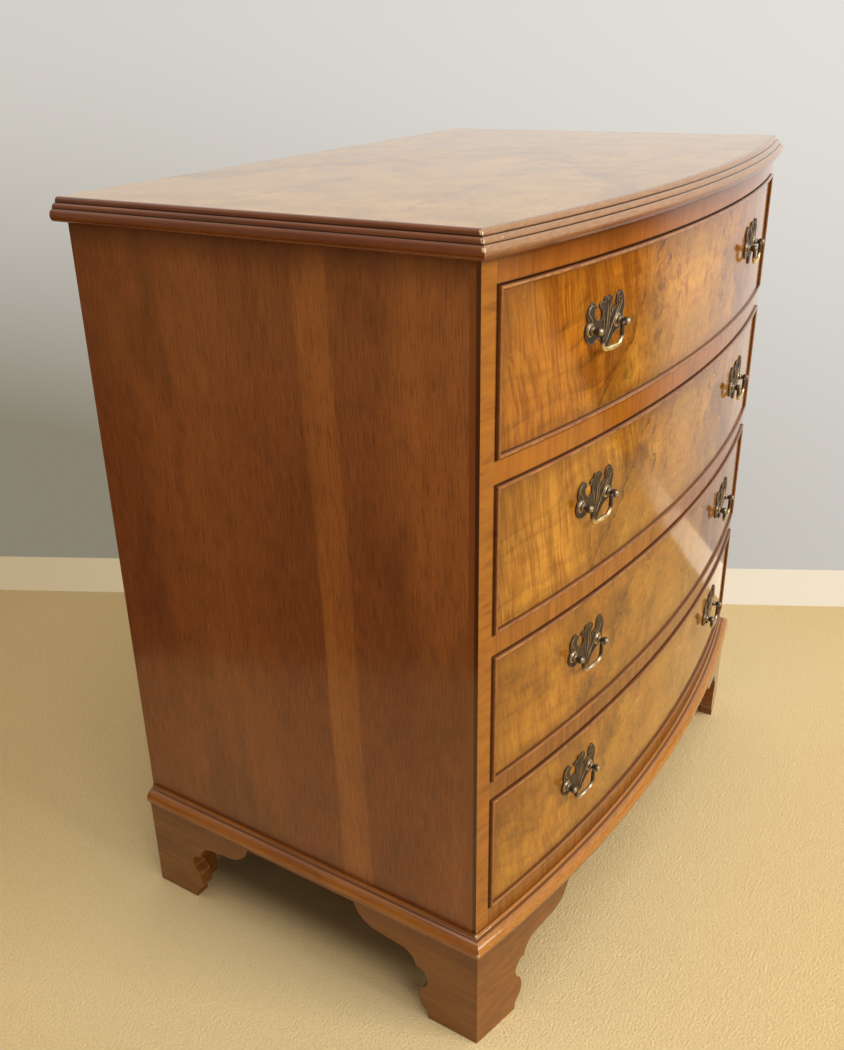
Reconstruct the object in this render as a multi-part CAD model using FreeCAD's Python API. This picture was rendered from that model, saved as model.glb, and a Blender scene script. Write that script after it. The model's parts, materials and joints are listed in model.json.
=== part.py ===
import FreeCAD, Part

import math
import os

from FreeCAD import Vector

# Bow front chest of four drawers, in millimetres.
# X runs to the right seen from the front, the front faces -Y, Z is up.
# The origin is on the floor, in the middle of the width and of the depth.

# ---------------------------------------------------------------- overall
CARCASS_WIDTH = 757.0
SIDE_DEPTH = 455.0            # back of the carcass to its front corners
BOW_RISE = 41.0               # how far the middle of the front stands out
BOARD = 18.0                  # sides, and so the stiles in front of them

# ---------------------------------------------------------------- top
TOP_THICKNESS = 22.0
TOP_INSET = 4.5               # joint of top panel and moulding, inside the carcass faces
TOP_OUT = 9.6                 # how far the top moulding stands out
TOP_BACK_OVERHANG = 13.7
REED_OUTS = (0.6, 5.2)        # the two reeds of the top moulding
REED_RADIUS = 4.4
REED_QUIRK = 0.8
TOP_NOSE_HEIGHT = 5.6         # widest point over the underside of the top
TOP_UNDERCUT = 3.4

# ---------------------------------------------------------------- base and feet
FOOT_HEIGHT = 119.5
BASE_MOULDING_HEIGHT = 25.0
BASE_OUT = 13.2               # how far the base moulding stands out
BASE_FILLET = 1.2
BASE_COVE = 3.2
BASE_NOSE_HEIGHT = 10.5
BASE_UNDERCUT = 3.8
BASE_LIP = 2.2                # upright lip under the nose
FOOT_OUT = 8.6                # how far the bracket feet stand out
BRACKET = 18.0                # thickness of the bracket feet
BRACKET_LENGTH = 156.0        # of the shaped brackets, from the corner
CORNER_BLOCK = 32.0

# ---------------------------------------------------------------- inside the carcass
BOTTOM_RAIL_HEIGHT = 46.2     # underside of the carcass to the first drawer
RAIL_HEIGHT = 21.2
RAIL_DEPTH = 45.0             # of a rail at its ends
BOTTOM_RAIL_THICKNESS = 22.0
BOTTOM_BOARD = 16.0
STILE_DEPTH = 10.0            # facing on the front edge of the sides, at the outer corner
BACK_PANEL = 8.0
BACK_REBATE = 8.0
RUNNER_WIDTH = 22.0
STOP_HEIGHT = 5.0
STOP_LENGTH = 36.0
STOP_WIDTH = 14.0
STOP_OFFSET = 150.0           # from the middle of the front
STOP_GAP = 0.3

# ---------------------------------------------------------------- drawers, from the bottom up
DRAWER_HEIGHTS = (137.5, 140.0, 145.0, 145.0)
FRONT_GAP = 1.2               # round each drawer front
FRONT_THICKNESS = 22.0
DRAWER_SIDE = 12.0
SIDE_PLAY = 1.5               # between a drawer side and the carcass side
RUNNING_GAP = 0.3             # under a drawer side
TOP_PLAY = 4.0                # over a drawer side
BACK_PLAY = 16.0              # behind a closed drawer
DRAWER_BACK = 10.0
DRAWER_BOTTOM = 6.0
BOTTOM_RAISE = 8.0            # lower edge of a drawer side to the drawer bottom
GROOVE = 5.0
DOVETAILS = 3
DOVETAIL_FLARE = 2.5

# ---------------------------------------------------------------- cockbead
BEAD = 4.0
BEAD_PROUD = 3.0
BEAD_REBATE = 10.0

# ---------------------------------------------------------------- handles
HANDLE_OFFSET = 210.0         # from the middle of the front
HANDLE_RAISE = 10.0           # posts over the middle of the drawer
POST_SPACING = 46.4
POST_REACH = 10.0             # drawer face to the middle of the ball
BALL_RADIUS = 4.0
NECK_RADIUS = 2.4
FLANGE_RADIUS = 5.2
FLANGE_THICKNESS = 1.0
POST_BEAD_RADIUS = 3.7        # round bead between flange and ball
POST_BEAD_WIDTH = 3.0
SHANK_RADIUS = 2.5
SHANK_FIT = 0.1
PLATE = 1.6
NUT_RADIUS = 6.5
NUT_THICKNESS = 4.0
PIN_RADIUS = 1.5
PIN_FIT = 0.08
PIN_REACH = 3.2               # how far a bail's pin goes into its ball
BAIL_RADIUS = 2.0
BAIL_GAP = 0.3                # between a bail's arm and its ball
BAIL_DROP = 18.2
BAIL_BEND = 8.5
BAIL_SWELL = 0.7

# ---------------------------------------------------------------- worked out
HALF = CARCASS_WIDTH / 2
INNER_HALF = HALF - BOARD
BOW_RADIUS = (HALF ** 2 + BOW_RISE ** 2) / (2 * BOW_RISE)
OVERALL_DEPTH = TOP_BACK_OVERHANG + SIDE_DEPTH + BOW_RISE + BASE_OUT
BACK_Y = OVERALL_DEPTH / 2 - TOP_BACK_OVERHANG
CORNER_Y = BACK_Y - SIDE_DEPTH
FRONT_Y = CORNER_Y - BOW_RISE
BOW_CENTRE_Y = FRONT_Y + BOW_RADIUS
FIRST_DRAWER_Z = FOOT_HEIGHT + BOTTOM_RAIL_HEIGHT
TOP_Z = FIRST_DRAWER_Z + sum(DRAWER_HEIGHTS) + RAIL_HEIGHT * len(DRAWER_HEIGHTS)
OVERALL_HEIGHT = TOP_Z + TOP_THICKNESS
RAIL_BACK_Y = CORNER_Y + RAIL_DEPTH
BACK_PANEL_Y = BACK_Y - BACK_PANEL
DRAWER_HALF = INNER_HALF - SIDE_PLAY
FAR = 2000.0


# ---------------------------------------------------------------- shape helpers
def bow_y(x, out=0.0):
    """Y of the bowed front at x, moved outwards by out."""
    return BOW_CENTRE_Y - math.sqrt((BOW_RADIUS + out) ** 2 - x ** 2)


def box(x0, x1, y0, y1, z0, z1):
    return Part.makeBox(x1 - x0, y1 - y0, z1 - z0, Vector(x0, y0, z0))


def prism(points, direction):
    """Closed polygon swept along a vector."""
    return Part.Face(Part.makePolygon(points + points[:1])).extrude(direction)


def arc(start, middle, end):
    return Part.Arc(start, middle, end).toShape()


def outline(start, steps, to_3d):
    """Face inside an outline: each step is (end,) for a line or (middle, end) for an arc."""
    edges = []
    here = start
    if steps[-1][-1] != start:
        steps = steps + [(start,)]
    for step in steps:
        end = step[-1]
        if len(step) == 1:
            edges.append(Part.makeLine(to_3d(here), to_3d(end)))
        else:
            edges.append(arc(to_3d(here), to_3d(step[0]), to_3d(end)))
        here = end
    return Part.Face(Part.Wire(edges))


def bow_board(half, out, back_y, z0, z1):
    """Flat board with a straight back and a bowed front edge."""
    corner_y = bow_y(half, out)
    left = Vector(-half, corner_y, z0)
    right = Vector(half, corner_y, z0)
    edges = [
        Part.makeLine(right, Vector(half, back_y, z0)),
        Part.makeLine(Vector(half, back_y, z0), Vector(-half, back_y, z0)),
        Part.makeLine(Vector(-half, back_y, z0), left),
        arc(left, Vector(0, bow_y(0, out), z0), right),
    ]
    return Part.Face(Part.Wire(edges)).extrude(Vector(0, 0, z1 - z0))


def bow_shell(half, outer, inner, z0, z1):
    """Curved board between two offsets of the bowed front."""
    corner_out = bow_y(half, outer)
    corner_in = bow_y(half, inner)
    edges = [
        arc(Vector(-half, corner_out, z0), Vector(0, bow_y(0, outer), z0), Vector(half, corner_out, z0)),
        Part.makeLine(Vector(half, corner_out, z0), Vector(half, corner_in, z0)),
        arc(Vector(half, corner_in, z0), Vector(0, bow_y(0, inner), z0), Vector(-half, corner_in, z0)),
        Part.makeLine(Vector(-half, corner_in, z0), Vector(-half, corner_out, z0)),
    ]
    return Part.Face(Part.Wire(edges)).extrude(Vector(0, 0, z1 - z0))


def turn_on_bow(shape, angle):
    """Turn a shape made at the middle of the front about the centre of the bow."""
    turned = shape.copy()
    turned.rotate(Vector(0, BOW_CENTRE_Y, 0), Vector(0, 0, 1), math.degrees(angle))
    return turned


def bow_turn(x):
    """Angle in degrees, about the centre of the bow, from the middle of the front to x."""
    return math.degrees(math.asin(x / BOW_RADIUS))


def bow_sweep(face, half, end):
    """Turn a profile drawn at x = 0 about the centre of the bow, past both ends of a width.

    The last stretch at each end, of a length end, keeps faces of its own, so a mitre cuts short ones.
    """
    stops = [-bow_turn(half) - 2, -bow_turn(half - end), bow_turn(half - end), bow_turn(half) + 2]
    pieces = []
    for first, last in zip(stops, stops[1:]):
        start = face.copy()
        start.rotate(Vector(0, BOW_CENTRE_Y, 0), Vector(0, 0, 1), first)
        pieces.append(start.revolve(Vector(0, BOW_CENTRE_Y, 0), Vector(0, 0, 1), last - first))
    return pieces[0].fuse(pieces[1:])


def front_wedge():
    """Everything in front of the two corner mitres, which halve the angle of side and bow."""
    tilt = (math.pi / 2 - math.asin(HALF / BOW_RADIUS)) / 2
    along = Vector(math.cos(tilt), -math.sin(tilt), 0)
    corner = Vector(HALF, CORNER_Y, 0)
    far_out = corner + along * 100
    far_in = corner - along * 200
    points = [
        far_out,
        far_in,
        Vector(-far_in.x, far_in.y, 0),
        Vector(-far_out.x, far_out.y, 0),
        Vector(0, far_out.y - 200, 0),
    ]
    return prism(points, Vector(0, 0, OVERALL_HEIGHT + 10))


def mirrored(shape):
    return shape.mirror(Vector(0, 0, 0), Vector(1, 0, 0))


def write(name, solids):
    if not isinstance(solids, list):
        solids = [solids]
    whole = solids[0] if len(solids) == 1 else Part.makeCompound(solids)
    whole.exportStep(os.path.join("parts", name + ".step"))


# ---------------------------------------------------------------- mouldings
def round_middle(widest, other):
    """Middle of the round from the widest point of a profile, where it stands upright, to another."""
    across = widest[0] - other[0]
    rise = other[1] - widest[1]
    radius = (across ** 2 + rise ** 2) / (2 * across)
    angle = math.asin(rise / radius) / 2
    return widest[0] - radius * (1 - math.cos(angle)), widest[1] + radius * math.sin(angle)


def top_profile(to_3d):
    """Top moulding: two reeds stepping out over a rounded ovolo. Drawn as (out, height)."""
    low = TOP_Z
    high = OVERALL_HEIGHT
    steps = [((-TOP_INSET, high),)]
    z = high
    for reed_out in REED_OUTS:
        start = (reed_out - REED_RADIUS, z)
        widest = (reed_out, z - REED_RADIUS)
        z = widest[1] - REED_QUIRK
        steps += [(start,), (round_middle(widest, start), widest), ((reed_out, z),)]
    shoulder = (REED_OUTS[-1] + REED_QUIRK, z)
    widest = (TOP_OUT, low + TOP_NOSE_HEIGHT)
    under = (TOP_OUT - TOP_UNDERCUT, low)
    steps += [
        (shoulder,),
        (round_middle(widest, shoulder), widest),
        (round_middle(widest, under), under),
    ]
    return outline((-TOP_INSET, low), steps, to_3d)


def base_profile(to_3d):
    """Base moulding: a fillet and a cove over a rounded nose and a lip. Drawn as (out, height)."""
    low = FOOT_HEIGHT
    high = FOOT_HEIGHT + BASE_MOULDING_HEIGHT
    shoulder = (BASE_FILLET + BASE_COVE, high - BASE_COVE - BASE_FILLET)
    cove = BASE_COVE * math.sqrt(0.5)
    widest = (BASE_OUT, low + BASE_NOSE_HEIGHT)
    under = (BASE_OUT - BASE_UNDERCUT, low + BASE_LIP)
    steps = [
        ((0, high),),
        ((BASE_FILLET, high),),
        ((BASE_FILLET, high - BASE_FILLET),),
        ((shoulder[0] - cove, shoulder[1] + BASE_COVE - cove), shoulder),
        (round_middle(widest, shoulder), widest),
        (round_middle(widest, under), under),
        ((under[0], low),),
    ]
    return outline((0, low), steps, to_3d)


def mitred_moulding(profile, back_y):
    """Three lengths of a moulding, mitred at the front corners: left, front, right."""
    wedge = front_wedge()
    front_face = profile(lambda p: Vector(0, FRONT_Y - p[0], p[1]))
    front = bow_sweep(front_face, HALF + 2 * BASE_OUT, 4 * BASE_OUT).common(wedge).Solids[0]
    side_face = profile(lambda p: Vector(HALF + p[0], back_y, p[1]))
    length = back_y - CORNER_Y + 60
    right = side_face.extrude(Vector(0, -length, 0)).cut(wedge).Solids[0]
    return [mirrored(right), front, right]


# ---------------------------------------------------------------- carcass
def side_panel():
    """Right side, with the rebate for the back panel."""
    front_y = CORNER_Y + STILE_DEPTH
    side = box(INNER_HALF, HALF, front_y, BACK_Y, FOOT_HEIGHT, TOP_Z)
    rebate = box(INNER_HALF - 1, INNER_HALF + BACK_REBATE, BACK_PANEL_Y, BACK_Y + 1, FOOT_HEIGHT - 1, TOP_Z + 1)
    return side.cut(rebate)


def stile():
    """Right front stile, between the side panel's front edge and the bow."""
    whole = bow_board(HALF, 0, CORNER_Y + STILE_DEPTH, FOOT_HEIGHT, TOP_Z)
    return whole.common(box(INNER_HALF, HALF + 1, -FAR, FAR, 0, OVERALL_HEIGHT)).Solids[0]


def back_panel():
    half = INNER_HALF + BACK_REBATE
    return box(-half, half, BACK_PANEL_Y, BACK_Y, FOOT_HEIGHT, TOP_Z)


def top_panel():
    return bow_board(HALF - TOP_INSET, -TOP_INSET, BACK_Y + TOP_BACK_OVERHANG, TOP_Z, OVERALL_HEIGHT)


def rail(z0):
    return bow_board(INNER_HALF, 0, RAIL_BACK_Y, z0, z0 + RAIL_HEIGHT)


def bottom_rail():
    return bow_shell(INNER_HALF, 0, -BOTTOM_RAIL_THICKNESS, FOOT_HEIGHT, FIRST_DRAWER_Z)


def bottom_board():
    return bow_board(INNER_HALF, -BOTTOM_RAIL_THICKNESS, BACK_PANEL_Y,
                     FIRST_DRAWER_Z - BOTTOM_BOARD, FIRST_DRAWER_Z)


def drawer_levels():
    """Lowest and highest z of each drawer's opening, from the bottom up."""
    levels = []
    z = FIRST_DRAWER_Z
    for height in DRAWER_HEIGHTS:
        levels.append((z, z + height))
        z += height + RAIL_HEIGHT
    return levels


def runners():
    """A strip at each side behind every rail but the lowest: runner above, kicker below."""
    strips = []
    for _, high in drawer_levels():
        strip = box(INNER_HALF - RUNNER_WIDTH, INNER_HALF, RAIL_BACK_Y, BACK_PANEL_Y, high, high + RAIL_HEIGHT)
        strips += [mirrored(strip), strip]
    return strips


def stops():
    """Two blocks behind each drawer front, which meet it when the drawer is shut."""
    angle = math.asin(STOP_OFFSET / BOW_RADIUS)
    blocks = []
    for low, _ in drawer_levels():
        front_y = FRONT_Y + FRONT_THICKNESS + STOP_GAP
        block = box(-STOP_LENGTH / 2, STOP_LENGTH / 2, front_y, front_y + STOP_WIDTH, low, low + STOP_HEIGHT)
        blocks += [turn_on_bow(block, -angle), turn_on_bow(block, angle)]
    return blocks


# ---------------------------------------------------------------- feet
def bracket_face(to_3d):
    """Shaped bracket, drawn as (distance from the corner, height)."""
    steps = [
        ((61.5, 0),),
        ((62.5, 9.5),),
        ((66, 12.5),),
        ((72.8, 27), (67, 44)),
        ((62.2, 57), (68.5, 67.5)),
        ((76, 69.5),),
        ((82, 82), (97, 89)),
        ((109, 90.4), (BRACKET_LENGTH - 35, 92)),
        ((BRACKET_LENGTH - 10, 101.5), (BRACKET_LENGTH, FOOT_HEIGHT)),
        ((0, FOOT_HEIGHT),),
    ]
    return outline((0, 0), steps, to_3d)


def side_bracket():
    """Right side bracket of a front foot, from the corner backwards."""
    x = HALF + FOOT_OUT
    corner_y = CORNER_Y - FOOT_OUT
    face = bracket_face(lambda p: Vector(x, corner_y + p[0], p[1]))
    return face.extrude(Vector(-BRACKET, 0, 0)).cut(front_wedge()).Solids[0]


def front_bracket():
    """Right bracket of a front foot: the flat bracket shape cut from a bowed board."""
    x = HALF + FOOT_OUT
    face = bracket_face(lambda p: Vector(x - p[0], FRONT_Y - 100, p[1]))
    shaped = face.extrude(Vector(0, 300, 0))
    shell = bow_shell(HALF + 40, FOOT_OUT, FOOT_OUT - BRACKET, 0, FOOT_HEIGHT)
    return shaped.common(shell).common(front_wedge()).Solids[0]


def rear_side_bracket():
    x = HALF + FOOT_OUT
    face = bracket_face(lambda p: Vector(x, BACK_Y - p[0], p[1]))
    return face.extrude(Vector(-BRACKET, 0, 0))


def rear_bracket():
    """Plain bracket across the back of a rear foot, sawn to a slope."""
    x = HALF + FOOT_OUT - BRACKET
    toe = 60
    reach = 125
    slope_z = 85
    points = [(0, 0), (toe, 0), (reach, slope_z), (reach, FOOT_HEIGHT), (0, FOOT_HEIGHT)]
    return prism([Vector(x - u, BACK_Y, z) for u, z in points], Vector(0, -BRACKET, 0))


def corner_block(y_low):
    x = HALF + FOOT_OUT - BRACKET
    return box(x - CORNER_BLOCK, x, y_low, y_low + CORNER_BLOCK, 0, FOOT_HEIGHT)


def front_corner_block():
    """Glue block behind both brackets of a front foot, shaped to the bowed one."""
    x = HALF + FOOT_OUT - BRACKET
    block = box(x - CORNER_BLOCK, x, CORNER_Y - FOOT_OUT, CORNER_Y + BRACKET + CORNER_BLOCK, 0, FOOT_HEIGHT)
    inside = bow_board(HALF, FOOT_OUT - BRACKET, FAR, 0, FOOT_HEIGHT)
    return block.common(inside).Solids[0]


def front_foot():
    return [front_bracket(), side_bracket(), front_corner_block()]


def rear_foot():
    return [rear_side_bracket(), rear_bracket(), corner_block(BACK_Y - BRACKET - CORNER_BLOCK)]


# ---------------------------------------------------------------- drawers
def front_extent(low, high):
    """Half width, lowest and highest z of a drawer front with its cockbead."""
    return INNER_HALF - FRONT_GAP, low + FRONT_GAP, high - FRONT_GAP


def side_extent(low, high):
    return low + RUNNING_GAP, high - TOP_PLAY


def bottom_extent(low):
    z = low + RUNNING_GAP + BOTTOM_RAISE
    return z, z + DRAWER_BOTTOM


def tail_prisms(x0, x1, root_y, end_y, z0, z1):
    """Dovetails of one side board: wider at their ends than at their roots."""
    pitch = (z1 - z0) / DOVETAILS
    tails = []
    for index in range(DOVETAILS):
        middle = z0 + pitch * (index + 0.5)
        wide = pitch / 2 - DOVETAIL_FLARE
        narrow = wide - DOVETAIL_FLARE
        beyond = root_y + (root_y - end_y)
        points = [
            Vector(x0, end_y, middle - wide),
            Vector(x0, end_y, middle + wide),
            Vector(x0, root_y, middle + narrow),
            Vector(x0, beyond, middle + narrow),
            Vector(x0, beyond, middle - narrow),
            Vector(x0, root_y, middle - narrow),
        ]
        tails.append(prism(points, Vector(x1 - x0, 0, 0)))
    return tails


def bead_ring(half, z0, z1):
    """Space of the cockbead in the drawer front, seen along Y."""
    outer = box(-half - 1, half + 1, -FAR, FAR, z0 - 1, z1 + 1)
    inner = box(-half + BEAD, half - BEAD, -FAR, FAR, z0 + BEAD, z1 - BEAD)
    return outer.cut(inner)


def drawer_bottom(low):
    """Thin board in grooves of the front and the sides, running under the back."""
    z0, z1 = bottom_extent(low)
    half = DRAWER_HALF - DRAWER_SIDE + GROOVE
    back_y = BACK_PANEL_Y - BACK_PLAY
    return bow_board(half, -FRONT_THICKNESS + GROOVE, back_y, z0, z1)


def drawer_wood(low, high):
    """Front, right side, left side, back and bottom of one drawer, jointed to each other."""
    half, z0, z1 = front_extent(low, high)
    side_z0, side_z1 = side_extent(low, high)
    back_end = BACK_PANEL_Y - BACK_PLAY
    bottom = drawer_bottom(low)
    front = bow_shell(half, 0, -FRONT_THICKNESS, z0, z1)
    rebate = bow_shell(HALF, 1, -BEAD_REBATE, z0 - 1, z1 + 1).common(bead_ring(half, z0, z1))
    front = front.cut(rebate)
    end_y = bow_y(DRAWER_HALF, -BEAD_REBATE)
    root_y = bow_y(DRAWER_HALF, -FRONT_THICKNESS)
    inner = DRAWER_HALF - DRAWER_SIDE
    tails = tail_prisms(inner, DRAWER_HALF, root_y, end_y, side_z0, side_z1)
    left_tails = tail_prisms(-DRAWER_HALF, -inner, root_y, end_y, side_z0, side_z1)
    for socket in tails + left_tails:
        front = front.cut(socket)
    front = front.cut(bottom)
    blank = box(inner, DRAWER_HALF, end_y, back_end, side_z0, side_z1)
    behind = blank.common(bow_board(HALF, -FRONT_THICKNESS, FAR, 0, OVERALL_HEIGHT))
    right = behind.fuse([tail.common(bow_shell(HALF, 0, -FRONT_THICKNESS, 0, OVERALL_HEIGHT)) for tail in tails])
    back = box(-DRAWER_HALF, DRAWER_HALF, back_end - DRAWER_BACK, back_end, bottom_extent(low)[1], side_z1)
    pins = tail_prisms(inner, DRAWER_HALF, back_end - DRAWER_BACK, back_end, bottom_extent(low)[1], side_z1)
    right_part = box(inner, DRAWER_HALF, back_end - DRAWER_BACK, back_end, bottom_extent(low)[1], side_z1)
    pin_space = right_part.cut(Part.makeCompound(pins))
    right = right.cut(pin_space).cut(bottom).removeSplitter().Solids[0]
    left = mirrored(right)
    back = back.cut(right).cut(left).Solids[0]
    return front, left, right, back, bottom


def bead_lengthwise(half, z0):
    """Lower strip of the cockbead, with a rounded nose, following the bow."""
    top = z0 + BEAD
    nose = BEAD / 2
    steps = [
        ((BEAD_PROUD - nose, z0),),
        ((BEAD_PROUD, z0 + nose), (BEAD_PROUD - nose, top)),
        ((-BEAD_REBATE, top),),
    ]
    face = outline((-BEAD_REBATE, z0), steps, lambda p: Vector(0, FRONT_Y - p[0], p[1]))
    return bow_sweep(face, half, 3 * BEAD)


def bead_upright(half, z0, z1):
    """Right upright strip of the cockbead."""
    inner = half - BEAD
    nose = BEAD / 2
    middle = half - nose
    steps = [
        ((half, bow_y(half, BEAD_PROUD - nose)),),
        ((middle, bow_y(middle, BEAD_PROUD)), (inner, bow_y(inner, BEAD_PROUD - nose))),
        ((inner, bow_y(inner, -BEAD_REBATE)),),
        ((middle, bow_y(middle, -BEAD_REBATE)), (half, bow_y(half, -BEAD_REBATE))),
    ]
    face = outline((half, bow_y(half, -BEAD_REBATE)), steps, lambda p: Vector(p[0], p[1], z0))
    return face.extrude(Vector(0, 0, z1 - z0))


def cockbead(low, high):
    """Four mitred strips: bottom, top, left, right."""
    half, z0, z1 = front_extent(low, high)
    reach = Vector(0, 400, 0)
    y = FRONT_Y - 100
    under = prism([Vector(-half, y, z0), Vector(half, y, z0),
                   Vector(half - BEAD, y, z0 + BEAD), Vector(-half + BEAD, y, z0 + BEAD)], reach)
    over = prism([Vector(-half, y, z1), Vector(half, y, z1),
                  Vector(half - BEAD, y, z1 - BEAD), Vector(-half + BEAD, y, z1 - BEAD)], reach)
    aside = prism([Vector(half, y, z0), Vector(half, y, z1),
                   Vector(half - BEAD, y, z1 - BEAD), Vector(half - BEAD, y, z0 + BEAD)], reach)
    bottom = bead_lengthwise(half, z0).common(under).Solids[0]
    top = bead_lengthwise(half, z1 - BEAD).common(over).Solids[0]
    right = bead_upright(half, z0, z1).common(aside).Solids[0]
    return [bottom, top, mirrored(right), right]


# ---------------------------------------------------------------- handles
# A handle is drawn at the middle of the front: the drawer face is y = 0, outwards is -Y,
# and the posts stand at z = 0.
def backplate():
    """Cast rococo plate: disc and curled scroll on the left, leaf in the middle, finial on the right."""
    steps = [
        ((33.0, 18.5), (34.0, 10.0)),
        ((32.6, 5.5), (32.2, 1.5)),
        ((30.8, -6.0), (24.0, -8.5)),
        ((15.5, -13.0), (9.0, -20.5)),
        ((5.2, -23.0), (1.6, -20.5)),
        ((-3.2, -13.6), (-11.5, -10.4)),
        ((-22.0, -12.6), (-30.6, -4.6)),
        ((-31.2, 2.0), (-27.0, 7.4)),
        ((-29.4, 14.2), (-25.6, 20.6)),
        ((-20.6, 23.6), (-15.6, 21.0)),
        ((-13.8, 18.0), (-16.8, 15.8)),
        ((-14.6, 8.6), (-6.0, 6.0)),
        ((-4.6, 12.4), (-9.2, 17.6)),
        ((-6.2, 21.4), (-2.2, 21.0)),
        ((1.0, 25.4), (4.6, 22.6)),
        ((9.8, 25.0), (13.0, 19.6)),
        ((8.6, 12.4), (9.6, 6.2)),
        ((14.6, 12.2), (20.6, 14.0)),
        ((19.6, 20.6), (28.0, 26.0)),
    ]
    plate = outline((28.0, 26.0), steps, lambda p: Vector(p[0], 0, p[1])).extrude(Vector(0, -PLATE, 0))
    eye = Part.makeCylinder(1.7, 3 * PLATE, Vector(26.4, PLATE, 18.4), Vector(0, -1, 0))
    plate = plate.cut(eye)
    for x in (-POST_SPACING / 2, POST_SPACING / 2):
        hole = Part.makeCylinder(SHANK_RADIUS + SHANK_FIT, 3 * PLATE, Vector(x, PLATE, 0), Vector(0, -1, 0))
        plate = plate.cut(hole)
    return plate


def nut_depth():
    """Inside face of the drawer front behind a post, measured from the plane of the handle."""
    return BOW_RADIUS - math.sqrt((BOW_RADIUS - FRONT_THICKNESS) ** 2 - (POST_SPACING / 2 + NUT_RADIUS) ** 2)


def post(side):
    """Turned post: shank, flange, bead, neck and ball, with the blind hole for the bail's pin."""
    x = side * POST_SPACING / 2
    inside = nut_depth() + NUT_THICKNESS + 1
    bead_start = -PLATE - FLANGE_THICKNESS
    bead_end = bead_start - POST_BEAD_WIDTH
    steps = [
        ((SHANK_RADIUS, inside),),
        ((SHANK_RADIUS, -PLATE),),
        ((FLANGE_RADIUS, -PLATE),),
        ((FLANGE_RADIUS, bead_start),),
        ((NECK_RADIUS, bead_start),),
        ((POST_BEAD_RADIUS, (bead_start + bead_end) / 2), (NECK_RADIUS, bead_end)),
        ((NECK_RADIUS, -POST_REACH),),
        ((0, -POST_REACH),),
    ]
    face = outline((0, inside), steps, lambda p: Vector(x + p[0], p[1], 0))
    stem = face.revolve(Vector(x, 0, 0), Vector(0, 1, 0), 360)
    ball = Part.makeSphere(BALL_RADIUS, Vector(x, -POST_REACH, 0))
    start = x - side * (BALL_RADIUS + 1)
    length = 1 + PIN_REACH + BAIL_GAP
    hole = Part.makeCylinder(PIN_RADIUS + PIN_FIT, length, Vector(start, -POST_REACH, 0), Vector(side, 0, 0))
    return stem.fuse(ball).cut(hole).removeSplitter().Solids[0]


def nut(side):
    x = side * POST_SPACING / 2
    depth = nut_depth() + 0.02
    ring = Part.makeCylinder(NUT_RADIUS, NUT_THICKNESS, Vector(x, depth, 0), Vector(0, 1, 0))
    return ring.cut(Part.makeCylinder(SHANK_RADIUS, 3 * NUT_THICKNESS, Vector(x, depth - 1, 0), Vector(0, 1, 0)))


def bail_spindle(half, y):
    """Bottom of a bail between its two bends, thickest in the middle."""
    steps = [
        ((-half, BAIL_RADIUS),),
        ((0, BAIL_RADIUS + BAIL_SWELL), (half, BAIL_RADIUS)),
        ((half, 0),),
    ]
    face = outline((-half, 0), steps, lambda p: Vector(p[0], y, p[1] - BAIL_DROP))
    return face.revolve(Vector(0, y, -BAIL_DROP), Vector(1, 0, 0), 360)


def bail():
    """Cast bail: pins turned out into the balls, two arms, two round bends and a swelling bottom."""
    arm_x = POST_SPACING / 2 - BALL_RADIUS - BAIL_GAP - BAIL_RADIUS
    pin_x = POST_SPACING / 2 - BALL_RADIUS + PIN_REACH
    y = -POST_REACH
    bend_z = BAIL_BEND - BAIL_DROP
    pin = Part.makeCylinder(PIN_RADIUS, pin_x - arm_x, Vector(arm_x, y, 0), Vector(1, 0, 0))
    top = Part.makeSphere(BAIL_RADIUS, Vector(arm_x, y, 0))
    arm = Part.makeCylinder(BAIL_RADIUS, -bend_z, Vector(arm_x, y, bend_z), Vector(0, 0, 1))
    section = Part.Face(Part.Wire(Part.makeCircle(BAIL_RADIUS, Vector(arm_x, y, bend_z), Vector(0, 0, 1))))
    bend = section.revolve(Vector(arm_x - BAIL_BEND, y, bend_z), Vector(0, 1, 0), 90)
    half = pin.fuse([top, arm, bend])
    whole = bail_spindle(arm_x - BAIL_BEND, y).fuse([half, mirrored(half)])
    return whole.removeSplitter().Solids[0]


def place_handle(shape, side, low, high):
    """Move a handle's piece from the middle of the front to its place on a drawer."""
    z = (low + high) / 2 + HANDLE_RAISE
    moved = shape.copy()
    moved.translate(Vector(0, FRONT_Y, z))
    return turn_on_bow(moved, side * math.asin(HANDLE_OFFSET / BOW_RADIUS))


def handle_holes(low, high):
    """Holes through the drawer front for all four posts."""
    holes = []
    for side in (-1, 1):
        for post_side in (-1, 1):
            x = post_side * POST_SPACING / 2
            hole = Part.makeCylinder(SHANK_RADIUS + SHANK_FIT, 60, Vector(x, -20, 0), Vector(0, 1, 0))
            holes.append(place_handle(hole, side, low, high))
    return Part.makeCompound(holes)


# ---------------------------------------------------------------- all nodes
def build_carcass():
    write("top_panel", top_panel())
    write("top_moulding", mitred_moulding(top_profile, BACK_Y + TOP_BACK_OVERHANG))
    right = side_panel()
    write("side_right", right)
    write("side_left", mirrored(right))
    right_stile = stile()
    write("stile_right", right_stile)
    write("stile_left", mirrored(right_stile))
    write("back_panel", back_panel())
    write("bottom_board", bottom_board())
    write("bottom_rail", bottom_rail())
    tops = [high for _, high in drawer_levels()]
    for number, z in enumerate(tops[:-1], start=1):
        write("drawer_rail_%d" % number, rail(z))
    write("top_rail", rail(tops[-1]))
    write("base_moulding", mitred_moulding(base_profile, BACK_Y))
    write("drawer_runners", runners())
    write("drawer_stops", stops())
    front = front_foot()
    rear = rear_foot()
    write("foot_front_right", front)
    write("foot_front_left", [mirrored(piece) for piece in front])
    write("foot_rear_right", rear)
    write("foot_rear_left", [mirrored(piece) for piece in rear])


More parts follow.
